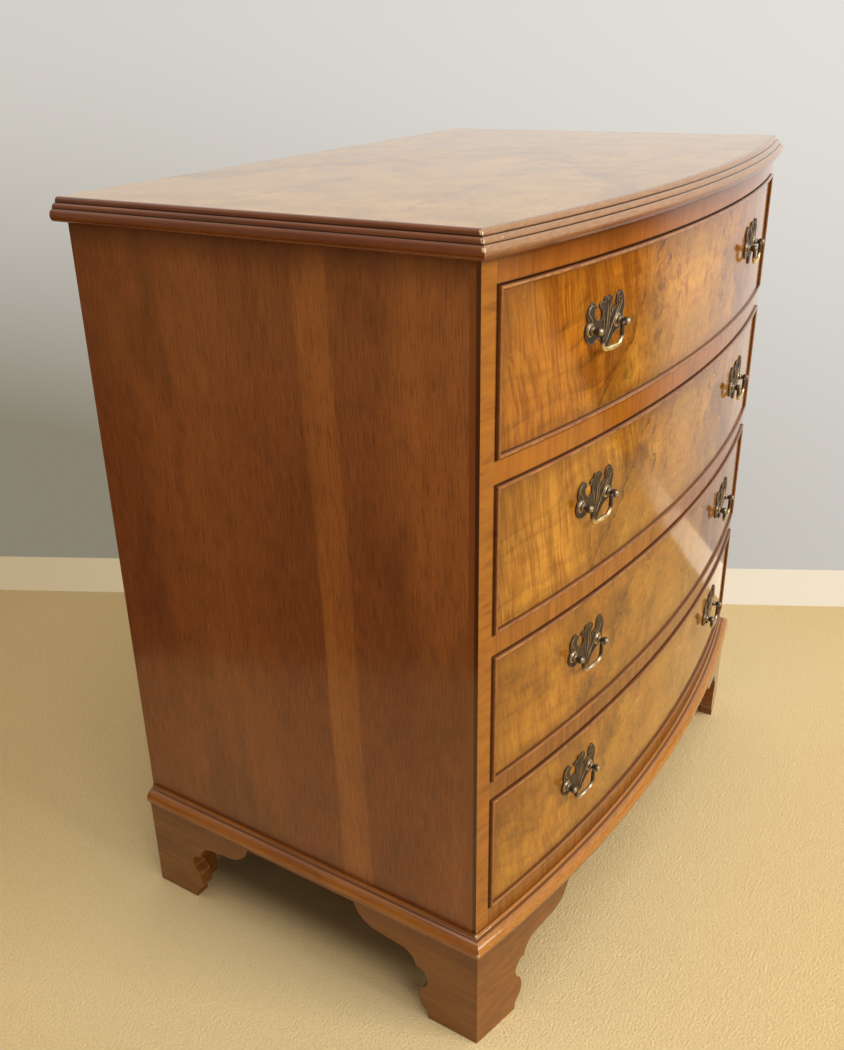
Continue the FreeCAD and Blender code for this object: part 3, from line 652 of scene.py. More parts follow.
@dataclass(frozen=True)
class SolidWalnut:
    """Polished walnut with its grain along one way, or along each length of a mitred frame.

    Painted sheen, worn and noses are for mouldings: how far their front is paled above the levels
    painted_sheen_from by a painted highlight and reflection, the two colours of that sheen, and the heights that
    are rubbed bright at the mitres. Quirks are the heights of their dark grooves, darkened by painted shade
    and dirt. Bead is the frame of a cockbead: half its width, its lowest and its highest level.
    """

    name: str
    run: Run
    light: Colour
    mid: Colour
    mitred: bool = False
    crevice: float = 0.0
    patched: float = 0.35
    side: Colour | None = None
    dark: Colour = (0.130, 0.037, 0.006)
    gloss: float = 0.13
    painted_sheen: float = 0.0
    painted_sheen_from: tuple[float, float] = (0.820, 0.826)
    # worn is the brighter colour of the painted sheen on a moulding's front, not a colour of wear.
    worn: Colour = (0.44, 0.255, 0.130)
    painted_sheen_dim: Colour = (0.34, 0.185, 0.088)
    quirks: tuple[float, ...] = ()
    noses: tuple[float, ...] = ()
    shaded: tuple[float, float] | None = None
    opened: bool = False
    bead: tuple[float, float, float] | None = None
    # Dirt and painted shade, laid in crevices and along edges.
    dirt_and_shade: Colour = (0.014, 0.006, 0.004)
    quirk: Colour = (0.040, 0.016, 0.008)
    gap_shade: Colour = (0.05, 0.016, 0.006)

    def grain(self, bench: Bench, run: Run) -> tuple[Flow, Flow]:
        """Lays streaks along one way.

        Args:
            bench: The material.
            run: The way the grain goes.

        Returns:
            The colour, and the fine grain from 0 to 1.
        """
        place = bench.place.drift(7.0, 0.006).stretch(run.scale(0.05))
        streak = place.cloud(150.0, 3.0, 0.6)
        fine = place.cloud(900.0, 2.0, 0.6)
        patch = bench.place.cloud(14.0, 3.0, 0.6)
        colour = bench.blend(streak.step(0.26, 0.74), self.light, self.mid).stained(
            (self.dark, patch.step(0.50, 0.74) * self.patched), (self.dark, streak.step(0.58, 0.80) * 0.40),
            (self.dark, fine.step(0.56, 0.76) * 0.34))
        return colour, fine

    def mitre(self, bench: Bench, colour: Flow, fine: Flow) -> tuple[Flow, Flow]:
        """Pales the front with a painted sheen, turns the grain at the corner mitres, rubs their noses and darkens
        their thin seam.

        Args:
            bench: The material.
            colour: The colour along the front.
            fine: The fine grain along the front.

        Returns:
            The colour and the fine grain of the whole frame.
        """
        turn = (abs(bench.x) - HALF_WIDTH) * MITRE_TURN[0] + (bench.y - CORNER_Y) * MITRE_TURN[1]
        on_side = bench.sums("GREATER_THAN", turn, 0.0)
        along, along_fine = self.grain(bench, Run.DEEP)
        # The pale front is a painted highlight and reflection, in the two sheen colours.
        worn = bench.blend(fine.step(0.35, 0.70), self.worn, self.painted_sheen_dim)
        rubbed = abs(turn).step(0.0020, 0.0006) * bench.place.cloud(260.0, 2.0, 0.6).step(0.36, 0.54)
        spots = bench.most(0.0, *(abs(bench.z - height).step(0.0021, 0.0009) for height in self.noses))
        colour = colour.stained((worn, bench.z.step(*self.painted_sheen_from) * self.painted_sheen), (along, on_side),
                                ((0.88, 0.68, 0.43), rubbed * spots),
                                (self.dark, abs(turn).step(0.0005, 0.0001) * 0.7))
        return colour, fine.stained((along_fine, on_side))

    def edges(self, bench: Bench, colour: Flow) -> Flow:
        """Darkens both edges of a cockbead with painted shade and dirt, and paints a pale highlight with some wear
        along its nose.

        Args:
            bench: The material.
            colour: The bead's colour.

        Returns:
            The colour with its edges.
        """
        aside, above = inside_frame(bench, self.bead)
        inside = bench.least(aside, above)
        # Painted highlight with some wear along the nose, stronger on the level lengths than on the upright ones.
        level = bench.sums("GREATER_THAN", aside, above) * 0.45 + 0.20
        highlight_and_wear = abs(inside - 0.0019).step(0.0012, 0.0003)
        rubbed = highlight_and_wear * bench.place.cloud(90.0, 3.0, 0.6).step(0.36, 0.60)
        # The dark edges are painted shade and dirt, at the gap and at the front.
        dirt_and_shade = bench.most(inside.step(0.0008, 0.0003), inside.step(0.0033, 0.0039))
        return colour.stained(((0.54, 0.27, 0.085), rubbed * level), ((0.06, 0.019, 0.007), dirt_and_shade * 0.65))

    def lines(self, bench: Bench, colour: Flow) -> Flow:
        """Darkens the quirks of a moulding with painted shade and dirt, the wood in its shade, and the edges of the
        drawer openings with painted shade.

        Args:
            bench: The material.
            colour: The wood's colour.

        Returns:
            The colour with its dark lines.
        """
        # The quirks are darkened by painted shade and dirt in the grooves.
        for height in self.quirks:
            colour = colour.stained((self.quirk, abs(bench.z - height).step(0.0007, 0.0002) * 0.85))
        if self.shaded is not None:
            colour = colour.stained((self.dark, bench.z.step(*self.shaded) * 0.75))
        # Painted shade in the gaps round the drawer openings.
        if self.opened:
            aside = abs(bench.x) - (HALF_WIDTH - BOARD)
            near = bench.least(*(abs(bench.most(aside, abs(bench.z - (low + high) / 2) - (high - low) / 2))
                                 for low, high in DRAWER_LEVELS))
            colour = colour.stained((self.gap_shade, near.step(0.0015, 0.0004) * 0.55))
        return colour

    def dress(self) -> Finish:
        """Lays the wood.

        Returns:
            The material.
        """
        bench = Bench(self.name)
        colour, fine = self.grain(bench, self.run)
        if self.mitred:
            colour, fine = self.mitre(bench, colour, fine)
        if self.side is not None:
            side = bench.blend(fine.step(0.40, 0.70) * 0.6, self.side, self.dark)
            side = side.stained((self.dirt_and_shade, (bench.y - CORNER_Y).step(0.0050, 0.0032) * 0.7))
            colour = colour.stained((side, abs(bench.x).step(HALF_WIDTH - 0.0003, HALF_WIDTH - 0.0001, False)))
        colour = self.lines(bench, colour)
        if self.bead is not None:
            colour = self.edges(bench, colour)
        # Painted shade: ambient occlusion darkens the crevices, as shade and dirt.
        if self.crevice > 0:
            painted_crevice_shade = bench.lay("AmbientOcclusion", {"Distance": 0.0030}, "AO", samples=8, only_local=True)
            colour = colour.stained((self.dirt_and_shade, painted_crevice_shade.step(0.78, 0.42) * self.crevice))
        return polish(bench, colour, fine, self.gloss)


@dataclass(frozen=True)
class BareOak:
    """Unpolished oak of the drawer linings, runners and back."""

    name: str
    run: Run
    light: Colour = (0.62, 0.44, 0.25)
    dark: Colour = (0.36, 0.22, 0.11)
    pore: Colour = (0.20, 0.12, 0.06)

    def dress(self) -> Finish:
        """Lays the wood.

        Returns:
            The material.
        """
        bench = Bench(self.name)
        place = bench.place.drift(4.0, 0.01).stretch(self.run.scale(0.04))
        streak = place.cloud(190.0, 4.0, 0.62)
        pores = place.cloud(900.0, 2.0, 0.6)
        colour = bench.blend(streak.step(0.34, 0.76) * 0.8, self.light, self.dark)
        colour = colour.stained((self.pore, pores.step(0.56, 0.70) * 0.5))
        return bench.finish(Base_Color=colour, Roughness=streak.between(0.55, 0.75), Normal=pores.relief(0.0001))


@dataclass(frozen=True)
class OldBrass:
    """Cast brass, nearly black where it is untouched and bright where hands and cloths have rubbed it."""

    name: str = "old_brass"
    patina: Colour = (0.070, 0.047, 0.029)
    rubbed: Colour = (0.63, 0.50, 0.33)
    bright: Colour = (0.90, 0.76, 0.36)
    grime: Colour = (0.035, 0.022, 0.014)

    def dress(self) -> Finish:
        """Lays the metal: patina up to a wear of 0.1, rubbed at 0.5, bright at 1.

        Returns:
            The material.
        """
        bench = Bench(self.name)
        spots = bench.place.cloud(420.0, 4.0, 0.65)
        grime = bench.place.cloud(1500.0, 2.0, 0.6)
        level = bench.lay("Attribute", output="Fac", attribute_name=WEAR) + (spots * 0.5 - 0.25)
        colour = bench.blend(level.step(0.12, 0.55), self.patina, self.rubbed).stained(
            (self.bright, level.step(0.62, 0.95)), (self.grime, grime.step(0.52, 0.72) * 0.35))
        return bench.finish(Base_Color=colour, Metallic=level.between(0.55, 1.0, 0.1, 0.6),
                            Roughness=(level + grime).between(0.46, 0.22, 0.3, 1.4), Normal=spots.relief(0.00012))


@dataclass(frozen=True)
class Seat:
    """Where one handle sits: on which drawer, and left or right of its middle."""

    drawer: int
    side: int

    @property
    def word(self) -> str:
        """Left or right."""
        return "left" if self.side < 0 else "right"

    def matrix(self) -> Matrix:
        """Brings a handle drawn at the middle of the front to its seat.

        Returns:
            The way there.
        """
        low, high = DRAWER_LEVELS[self.drawer - 1]
        turn = Matrix.Rotation(self.side * math.asin(HANDLE_OFFSET / BOW_RADIUS), 4, "Z")
        onto = Matrix.Translation((0.0, -BOW_RADIUS, (low + high) / 2 + HANDLE_RAISE))
        return Matrix.Translation((0.0, BOW_CENTRE_Y, 0.0)) @ turn @ onto


def wear_mesh(shape: Shape, rule: Callable[[Vector], float]) -> None:
    """Writes how worn each point is, from 0 to 1, by a rule for its place."""
    layer = shape.verts.layers.float.get(WEAR) or shape.verts.layers.float.new(WEAR)
    for point in shape.verts:
        point[layer] = min(1.0, max(0.0, rule(point.co)))


def rise(value: float, low: float, high: float) -> float:
    """Goes from 0 to 1 while a value goes from low to high."""
    return min(1.0, max(0.0, (value - low) / (high - low)))


def turned(profile: list[tuple[float, float]], steps: int = 28) -> Shape:
    """Turns a profile about the Y axis, as on a lathe.

    Args:
        profile: Radius and distance along the axis of each point, in millimetres.
        steps: How many faces go round.

    Returns:
        The closed mesh, in metres.
    """
    shape = bmesh.new()
    points = [shape.verts.new((radius * MM, along * MM, 0.0)) for radius, along in profile]
    edges = [shape.edges.new(pair) for pair in zip(points, points[1:])]
    bmesh.ops.spin(shape, geom=points + edges, cent=(0.0, 0.0, 0.0), axis=(0.0, 1.0, 0.0), angle=math.tau,
                   steps=steps, use_merge=True)
    bmesh.ops.remove_doubles(shape, verts=shape.verts, dist=0.01 * MM)
    bmesh.ops.recalc_face_normals(shape, faces=shape.faces)
    return shape


def rod(points: list[tuple[float, float, float, float]], sides: int) -> Shape:
    """Draws a round rod of changing thickness.

    Args:
        points: X, Y, Z and radius of each point, in millimetres.
        sides: How finely it is rounded.

    Returns:
        The mesh, in metres.
    """
    curve = bpy.data.curves.new("rod", "CURVE")
    curve.dimensions = "3D"
    curve.bevel_depth = 1.0
    curve.bevel_resolution = sides
    curve.use_fill_caps = True
    spline = curve.splines.new("POLY")
    spline.points.add(len(points) - 1)
    for point, (x, y, z, radius) in zip(spline.points, points):
        point.co = (x * MM, y * MM, z * MM, 1.0)
        point.radius = radius * MM
    draft = bpy.data.objects.new("rod", curve)
    mesh = bpy.data.meshes.new_from_object(draft)
    shape = bmesh.new()
    shape.from_mesh(mesh)
    bmesh.ops.remove_doubles(shape, verts=shape.verts, dist=0.005 * MM)
    bmesh.ops.recalc_face_normals(shape, faces=shape.faces)
    bpy.data.objects.remove(draft)
    bpy.data.curves.remove(curve)
    bpy.data.meshes.remove(mesh)
    return shape


def swept(points: list[tuple[float, float]], steps: int = 6) -> list[tuple[float, float]]:
    """Rounds a line through a few points.

    Args:
        points: The points it goes through.
        steps: Pieces between two points.

    Returns:
        The points of the rounded line.
    """
    ends = [points[0], *points, points[-1]]
    line = []
    for before, here, there, after in zip(ends, ends[1:], ends[2:], ends[3:]):
        for index in range(steps):
            t = index / steps
            line.append(tuple(0.5 * (2 * b + (c - a) * t + (2 * a - 5 * b + 4 * c - d) * t ** 2
                                     + (3 * b - a - 3 * c + d) * t ** 3)
                              for a, b, c, d in zip(before, here, there, after)))
    return [*line, points[-1]]


def worn_shape() -> Shape:
    """Starts an empty mesh whose points can carry wear.

    Returns:
        The mesh.
    """
    shape = bmesh.new()
    shape.verts.layers.float.new(WEAR)
    return shape


def add_shape(whole: Shape, part: Shape, place: Matrix) -> None:
    """Adds a moved copy of one mesh to another.

    Args:
        whole: The mesh that grows.
        part: The mesh that is copied.
        place: Where the copy goes.
    """
    mesh = bpy.data.meshes.new("part")
    part.to_mesh(mesh)
    mesh.transform(place)
    whole.from_mesh(mesh)
    bpy.data.meshes.remove(mesh)


def stand(name: str, shape: Shape, material: Finish, body: str, nodes: list[str]) -> None:
    """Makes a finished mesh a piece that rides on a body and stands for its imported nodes.

    Args:
        name: What the piece is called.
        shape: Its mesh, in place.
        material: Its finish.
        body: The body that it rides on.
        nodes: The nodes that it stands for.
    """
    mesh = bpy.data.meshes.new(name)
    shape.to_mesh(mesh)
    mesh.materials.append(material)
    for face in mesh.polygons:
        face.use_smooth = True
    mesh.set_sharp_from_angle(angle=math.radians(38))
    piece = bpy.data.objects.new(name, mesh)
    bpy.context.scene.collection.objects.link(piece)
    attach(piece, body)
    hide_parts(*nodes)
    LOG.info("made %s with %d faces", name, len(mesh.polygons))


def sheet(name: str, half: float, place: Matrix, lowest: float, material: Finish) -> Thing:
    """Makes a flat square sheet for the room, cut off below a level.

    Args:
        name: What it is called.
        half: Half its side.
        place: Where it goes from the middle of the floor.
        lowest: The level that it is cut off at.
        material: Its finish.

    Returns:
        The sheet.
    """
    shape = bmesh.new()
    bmesh.ops.create_grid(shape, x_segments=1, y_segments=1, size=half)
    bmesh.ops.transform(shape, matrix=place, verts=shape.verts)
    bmesh.ops.bisect_plane(shape, geom=[*shape.verts, *shape.edges, *shape.faces], plane_co=(0.0, 0.0, lowest),
                           plane_no=(0.0, 0.0, -1.0), clear_outer=True)
    mesh = bpy.data.meshes.new(name)
    shape.to_mesh(mesh)
    shape.free()
    mesh.materials.append(material)
    flat = bpy.data.objects.new(name, mesh)
    bpy.context.scene.collection.objects.link(flat)
    return flat


def facing(way: Vector) -> Matrix:
    """Turns what lies flat on the floor so that it faces one way."""
    return way.to_track_quat("Z", "Y").to_matrix().to_4x4()


@dataclass
class Backplate:
    """Pierced cast plate: a raised rim, chased ribs and a boss under each post."""

    node: Thing
    rim: float = 0.0008
    sunk: float = 0.0005
    field: float = -1.1
    ribs: tuple = (
        (0.62, ((3.2, -18.6), (8.0, -11.0), (15.0, -1.0), (21.5, 8.5), (26.0, 16.0))),
        (0.42, ((5.8, -19.4), (11.0, -12.6), (17.6, -3.8), (23.6, 5.6), (28.6, 15.0), (29.4, 21.0), (27.6, 24.2))),
        (0.50, ((1.2, -18.0), (3.4, -8.0), (5.0, 4.0), (5.2, 14.0), (4.4, 21.0))),
        (0.42, ((-0.4, -15.4), (-0.2, -6.0), (-1.0, 4.0), (-2.6, 12.0), (-5.8, 18.8))),
        (0.42, ((2.8, -17.0), (6.6, -8.0), (8.2, 2.0), (9.4, 11.0), (10.6, 19.6))),
        (0.46, ((-3.6, -11.2), (-12.0, -5.6), (-18.2, 3.0), (-21.8, 9.6), (-26.4, 14.6), (-24.8, 19.4), (-20.0, 20.8),
                (-17.0, 18.4), (-19.0, 16.2))),
        (0.36, ((10.6, -8.2), (12.4, -3.6), (13.0, 1.0))),
        (0.36, ((13.4, -4.4), (15.0, 0.4), (15.4, 5.2))),
        (0.36, ((16.4, -0.2), (18.0, 4.6), (18.4, 9.6))),
        (0.34, ((22.6, 19.6), (24.8, 22.6), (27.4, 23.4), (29.8, 21.4), (30.0, 18.0), (28.0, 14.6), (24.6, 14.6),
                (22.8, 17.0), (23.2, 20.0))),
    )

    def blank(self) -> Shape:
        """Takes the right plate of the node back to the middle of the front, with its points joined.

        Returns:
            The flat plate.
        """
        shape = bmesh.new()
        shape.from_mesh(self.node.data)
        bmesh.ops.delete(shape, geom=[point for point in shape.verts if point.co.x < 0], context="VERTS")
        bmesh.ops.transform(shape, matrix=Seat(4, 1).matrix().inverted(), verts=shape.verts)
        bmesh.ops.remove_doubles(shape, verts=shape.verts, dist=0.002 * MM)
        bmesh.ops.dissolve_limit(shape, angle_limit=math.radians(0.5), verts=shape.verts, edges=shape.edges)
        return shape

    def build(self) -> Shape:
        """Casts the plate.

        Returns:
            The mesh, at the middle of the front.
        """
        shape = self.blank()
        front = [face for face in shape.faces if face.normal.y < -0.99]
        bmesh.ops.inset_region(shape, faces=front, thickness=self.rim, depth=-self.sunk, use_boundary=True,
                               use_even_offset=True)
        edges = [edge for edge in shape.edges if len(edge.link_faces) == 2 and edge.calc_face_angle(0.0) > 0.9
                 and all(point.co.y < -1.55 * MM for point in edge.verts)]
        bmesh.ops.bevel(shape, geom=edges, offset=0.00028, segments=2, affect="EDGES", profile=0.5, material=-1)
        bmesh.ops.triangulate(shape, faces=shape.faces)
        for radius, way in self.ribs:
            line = swept(list(way))
            swell = [math.sin(math.pi * (index + 0.6) / (len(line) + 0.2)) for index in range(len(line))]
            rib = rod([(x, self.field + 0.05, z, 1.2 * radius * (0.35 + 0.65 * thick))
                       for (x, z), thick in zip(line, swell)], 2)
            add_shape(shape, rib, Matrix.Identity(4))
            rib.free()
        boss = turned([(2.7, -0.8), (2.7, -1.6), (5.6, -1.6), (6.2, -1.45), (6.5, -1.2), (6.5, -0.8), (2.7, -0.8)])
        for side in (-1, 1):
            add_shape(shape, boss, Matrix.Translation((side * POST_SPACING / 2, 0.0, 0.0)))
        boss.free()
        wear_mesh(shape, lambda place: 0.04 + 0.66 * rise(-place.y, 1.30 * MM, 1.62 * MM))
        return shape


@dataclass
class Post:
    """Turned post with its bead, ball, threaded shank and six-sided nut."""

    reach: float = 10.0
    ball: float = 4.0
    bead: float = 3.7
    neck: float = 2.4
    flange: float = 5.2
    shank: float = 2.5
    plate: float = 1.6
    nut: float = 6.5
    nut_thickness: float = 4.0
    behind: float = 22.25

    def profile(self) -> list[tuple[float, float]]:
        """Draws a post from the shank's inner end to the tip of the ball.

        Returns:
            Radius and distance inwards of each point, in millimetres.
        """
        end = self.behind + self.nut_thickness + 1.0
        points = [(0.0, end), (self.shank - 0.5, end), (self.shank, end - 0.5)]
        for turn in range(7):
            along = end - 0.7 - turn * 0.7
            points += [(self.shank, along), (self.shank - 0.3, along - 0.35)]
        face = -self.plate
        start = face - 1.1
        points += [(self.shank, self.behind - 1.0), (self.shank, face + 0.1), (self.flange - 0.3, face + 0.1),
                   (self.flange, face - 0.2), (self.flange, face - 0.6), (self.flange - 0.4, face - 1.0),
                   (self.neck + 0.5, start)]
        for index in range(9):
            angle = math.pi * index / 8
            points.append((self.neck + 0.3 + (self.bead - self.neck - 0.3) * math.sin(angle),
                           start - 1.5 * (1 - math.cos(angle))))
        first = math.asin((self.neck - 0.1) / self.ball)
        points.append((self.neck - 0.1, -self.reach + self.ball * math.cos(first) + 0.4))
        for index in range(15):
            angle = first + (math.pi - first) * index / 14
            points.append((self.ball * math.sin(angle), -self.reach + self.ball * math.cos(angle)))
        return points

    def build(self) -> Shape:
        """Turns the two posts of one handle and cuts their nuts.

        Returns:
            The mesh, at the middle of the front.
        """
        post = turned(self.profile())
        wear_mesh(post, lambda place: 0.12 + 0.26 * rise(-place.y, 11.0 * MM, 13.6 * MM)
                  + 0.30 * rise(math.hypot(place.x, place.z), 2.9 * MM, 3.7 * MM) * rise(place.y, -7.5 * MM, -5.5 * MM))
        nut = bmesh.new()
        bmesh.ops.create_cone(nut, cap_ends=True, segments=6, radius1=self.nut * MM, radius2=self.nut * MM,
                              depth=self.nut_thickness * MM)
        bmesh.ops.bevel(nut, geom=nut.edges[:], offset=0.35 * MM, segments=2, affect="EDGES", profile=0.5, material=-1)
        bmesh.ops.rotate(nut, verts=nut.verts, matrix=Matrix.Rotation(math.pi / 2, 3, "X"))
        bmesh.ops.translate(nut, verts=nut.verts, vec=(0.0, (self.behind + 0.02 + self.nut_thickness / 2) * MM, 0.0))
        wear_mesh(nut, lambda place: 0.15)
        both = worn_shape()
        for side in (-1, 1):
            onto = Matrix.Translation((side * POST_SPACING / 2, 0.0, 0.0))
            add_shape(both, post, onto)
            add_shape(both, nut, onto)
        post.free()
        nut.free()
        return both


@dataclass
class Bail:
    """Swinging drop: pins in the balls, two arms, round bends and a thick rubbed grip."""

    shine: float
    reach: float = 10.0
    pin: float = 1.5
    arm: float = 2.0
    arm_out: float = 16.9
    pin_out: float = 22.4
    drop: float = 18.2
    bend: float = 8.5
    swell: float = 0.7

    def half(self) -> list[tuple[float, float, float, float]]:
        """Draws the right half, from the pin's end to the middle of the grip.

        Returns:
            X, Y, Z and radius of each point, in millimetres.
        """
        y = -self.reach
        points = [(self.pin_out, y, 0.0, self.pin), (self.arm_out + 1.9, y, 0.0, self.pin)]
        for index in range(1, 6):
            angle = math.pi / 2 * index / 5
            thick = self.pin + (self.arm - self.pin) * index / 5
            points.append((self.arm_out + 1.6 * (1 - math.sin(angle)), y, -1.6 * (1 - math.cos(angle)), thick))
        floor = -self.drop + self.bend
        points.append((self.arm_out, y, floor * 0.5, self.arm * 0.94))
        for index in range(9):
            angle = math.pi / 2 * index / 8
            points.append((self.arm_out - self.bend * (1 - math.cos(angle)), y, floor - self.bend * math.sin(angle),
                           self.arm))
        flat = self.arm_out - self.bend
        for index in range(1, 7):
            share = index / 6
            thick = self.arm + self.swell * math.sin(math.pi / 2 * share) ** 2
            points.append((flat * (1 - share), y, -self.drop, thick))
        return points

    def build(self) -> Shape:
        """Casts the bail.

        Returns:
            The mesh, at the middle of the front.
        """
        right = self.half()
        left = [(-x, y, z, radius) for x, y, z, radius in right[-2::-1]]
        shape = rod(right + left, 5)
        wear_mesh(shape, lambda place: 0.08 + 0.06 * self.shine + (0.28 + 0.72 * self.shine) * rise(
            -place.z, 0.55 * self.drop * MM, 0.98 * self.drop * MM))
        return shape


def cover(nodes: dict[str, Thing], finishes: dict[str, Finish]) -> None:
    """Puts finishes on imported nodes.

    Args:
        nodes: The nodes' objects by name.
        finishes: A material for each node that is covered.
    """
    for name, material in finishes.items():
        for slot in nodes[name].material_slots:
            slot.material = material
        LOG.info("finished %s with %s", name, material.name)


@dataclass
class Carcass:
    """Everything that stands still: top, sides, frame, mouldings and feet."""

    nodes: dict[str, Thing]

    def dress(self) -> None:
        """Gives each node its finish."""
        # The middle and low rails are darker copies of the high rail, darker towards the bottom.
        high_rail = SolidWalnut("walnut_high_rail", Run.UPRIGHT, (0.42, 0.143, 0.010), (0.31, 0.095, 0.006),
                                opened=True)
        middle_rail = replace(high_rail, name="walnut_middle_rail", light=(0.37, 0.132, 0.011),
                              mid=(0.25, 0.082, 0.007))
        low_rail = replace(high_rail, name="walnut_low_rail", light=(0.30, 0.106, 0.010),
                           mid=(0.185, 0.061, 0.007)).dress()
        top_rail = replace(high_rail, name="walnut_top_rail", light=(0.40, 0.130, 0.018), mid=(0.31, 0.094, 0.012),
                           shaded=(0.797, 0.817)).dress()
        stile = SolidWalnut("walnut_stile", Run.ACROSS, (0.39, 0.140, 0.012), (0.28, 0.090, 0.008),
                            side=(0.27, 0.085, 0.022), opened=True, shaded=(0.808, 0.818)).dress()
        feet = SolidWalnut("walnut_moulding", Run.ACROSS, (0.255, 0.088, 0.015), (0.185, 0.058, 0.011), mitred=True,
                           crevice=0.9, dark=(0.095, 0.031, 0.007), gloss=0.15, shaded=(0.085, 0.150))
        # The reeds and the base get a painted sheen on the upper part of their front.
        reeded = replace(feet, name="walnut_reeds", crevice=1.0, light=(0.220, 0.060, 0.011),
                         mid=(0.150, 0.038, 0.008), dark=(0.055, 0.017, 0.006), gloss=0.14, painted_sheen=0.75, shaded=None,
                         quirks=(0.8351, 0.8299), noses=(0.8376, 0.8325, 0.8268)).dress()
        base = replace(feet, name="walnut_base", light=(0.41, 0.142, 0.026), mid=(0.26, 0.082, 0.016),
                       dark=(0.150, 0.048, 0.013), gloss=0.13, shaded=(0.1300, 0.1235), painted_sheen=0.65,
                       painted_sheen_from=(0.127, 0.132), worn=(0.56, 0.245, 0.045), painted_sheen_dim=(0.40, 0.155, 0.022),
                       quirks=(0.1446, 0.1403), quirk=(0.13, 0.042, 0.010), noses=(0.1432, 0.1310)).dress()
        foot = feet.dress()
        oak_across = BareOak("oak_across", Run.ACROSS).dress()
        oak_deep = BareOak("oak_deep", Run.DEEP).dress()
        side = StripedVeneer().dress()
        cover(self.nodes, {
            "top_panel": TopVeneer().dress(), "side_left": side, "side_right": side, "stile_left": stile,
            "stile_right": stile, "top_rail": top_rail, "bottom_rail": low_rail, "drawer_rail_1": low_rail,
            "drawer_rail_2": middle_rail.dress(), "drawer_rail_3": high_rail.dress(), "top_moulding": reeded,
            "base_moulding": base, "foot_front_left": foot, "foot_front_right": foot, "foot_rear_left": foot,
            "foot_rear_right": foot, "back_panel": oak_across, "bottom_board": oak_across,
            "drawer_runners": oak_deep, "drawer_stops": oak_across,
        })


@dataclass
class Drawer:
    """One drawer with its front, lining and two handles."""

    number: int
    nodes: dict[str, Thing]

    @property
    def body(self) -> str:
        """The name of its body, which its nodes' names start with."""
        return f"drawer_{self.number}"

    def dress(self, lining: dict[str, Finish]) -> None:
        """Gives each wooden node its finish.

        Args:
            lining: Bare wood for each part of the lining.
        """
        low, high = DRAWER_LEVELS[self.number - 1]
        bead = SolidWalnut(f"cockbead_{self.number}", Run.ACROSS, (0.33, 0.115, 0.024), (0.235, 0.074, 0.015),
                           crevice=0.7, patched=0.3, dark=(0.080, 0.025, 0.008),
                           bead=(HALF_WIDTH - BOARD - FRONT_GAP, low + FRONT_GAP, high - FRONT_GAP))
        finishes = {"front": drawer_veneer(self.number).dress(), "cockbead": bead.dress(), **lining}
        cover(self.nodes, {f"{self.body}_{part}": material for part, material in finishes.items()})

    def hang_handles(self, plate: Shape, posts: Shape, brass: Finish) -> None:
        """Fits both handles.

        Args:
            plate: The backplate, at the middle of the front.
            posts: A handle's posts and nuts, at the middle of the front.
            brass: Their finish.
        """
        bail = Bail(shine=(0.30, 0.35, 0.75, 1.0)[self.number - 1]).build()
        for side in (-1, 1):
            seat = Seat(self.number, side)
            for name, part, body, node in (("backplate", plate, self.body, "handle_plates"),
                                           ("posts", posts, self.body, "handle_posts"),
                                           ("drop", bail, f"bail_{self.number}_{seat.word}", f"bail_{seat.word}")):
                shape = worn_shape()
                add_shape(shape, part, seat.matrix())
                stand(f"{name}_{self.number}_{seat.word}", shape, brass, body, [f"{self.body}_{node}"])
                shape.free()
        bail.free()


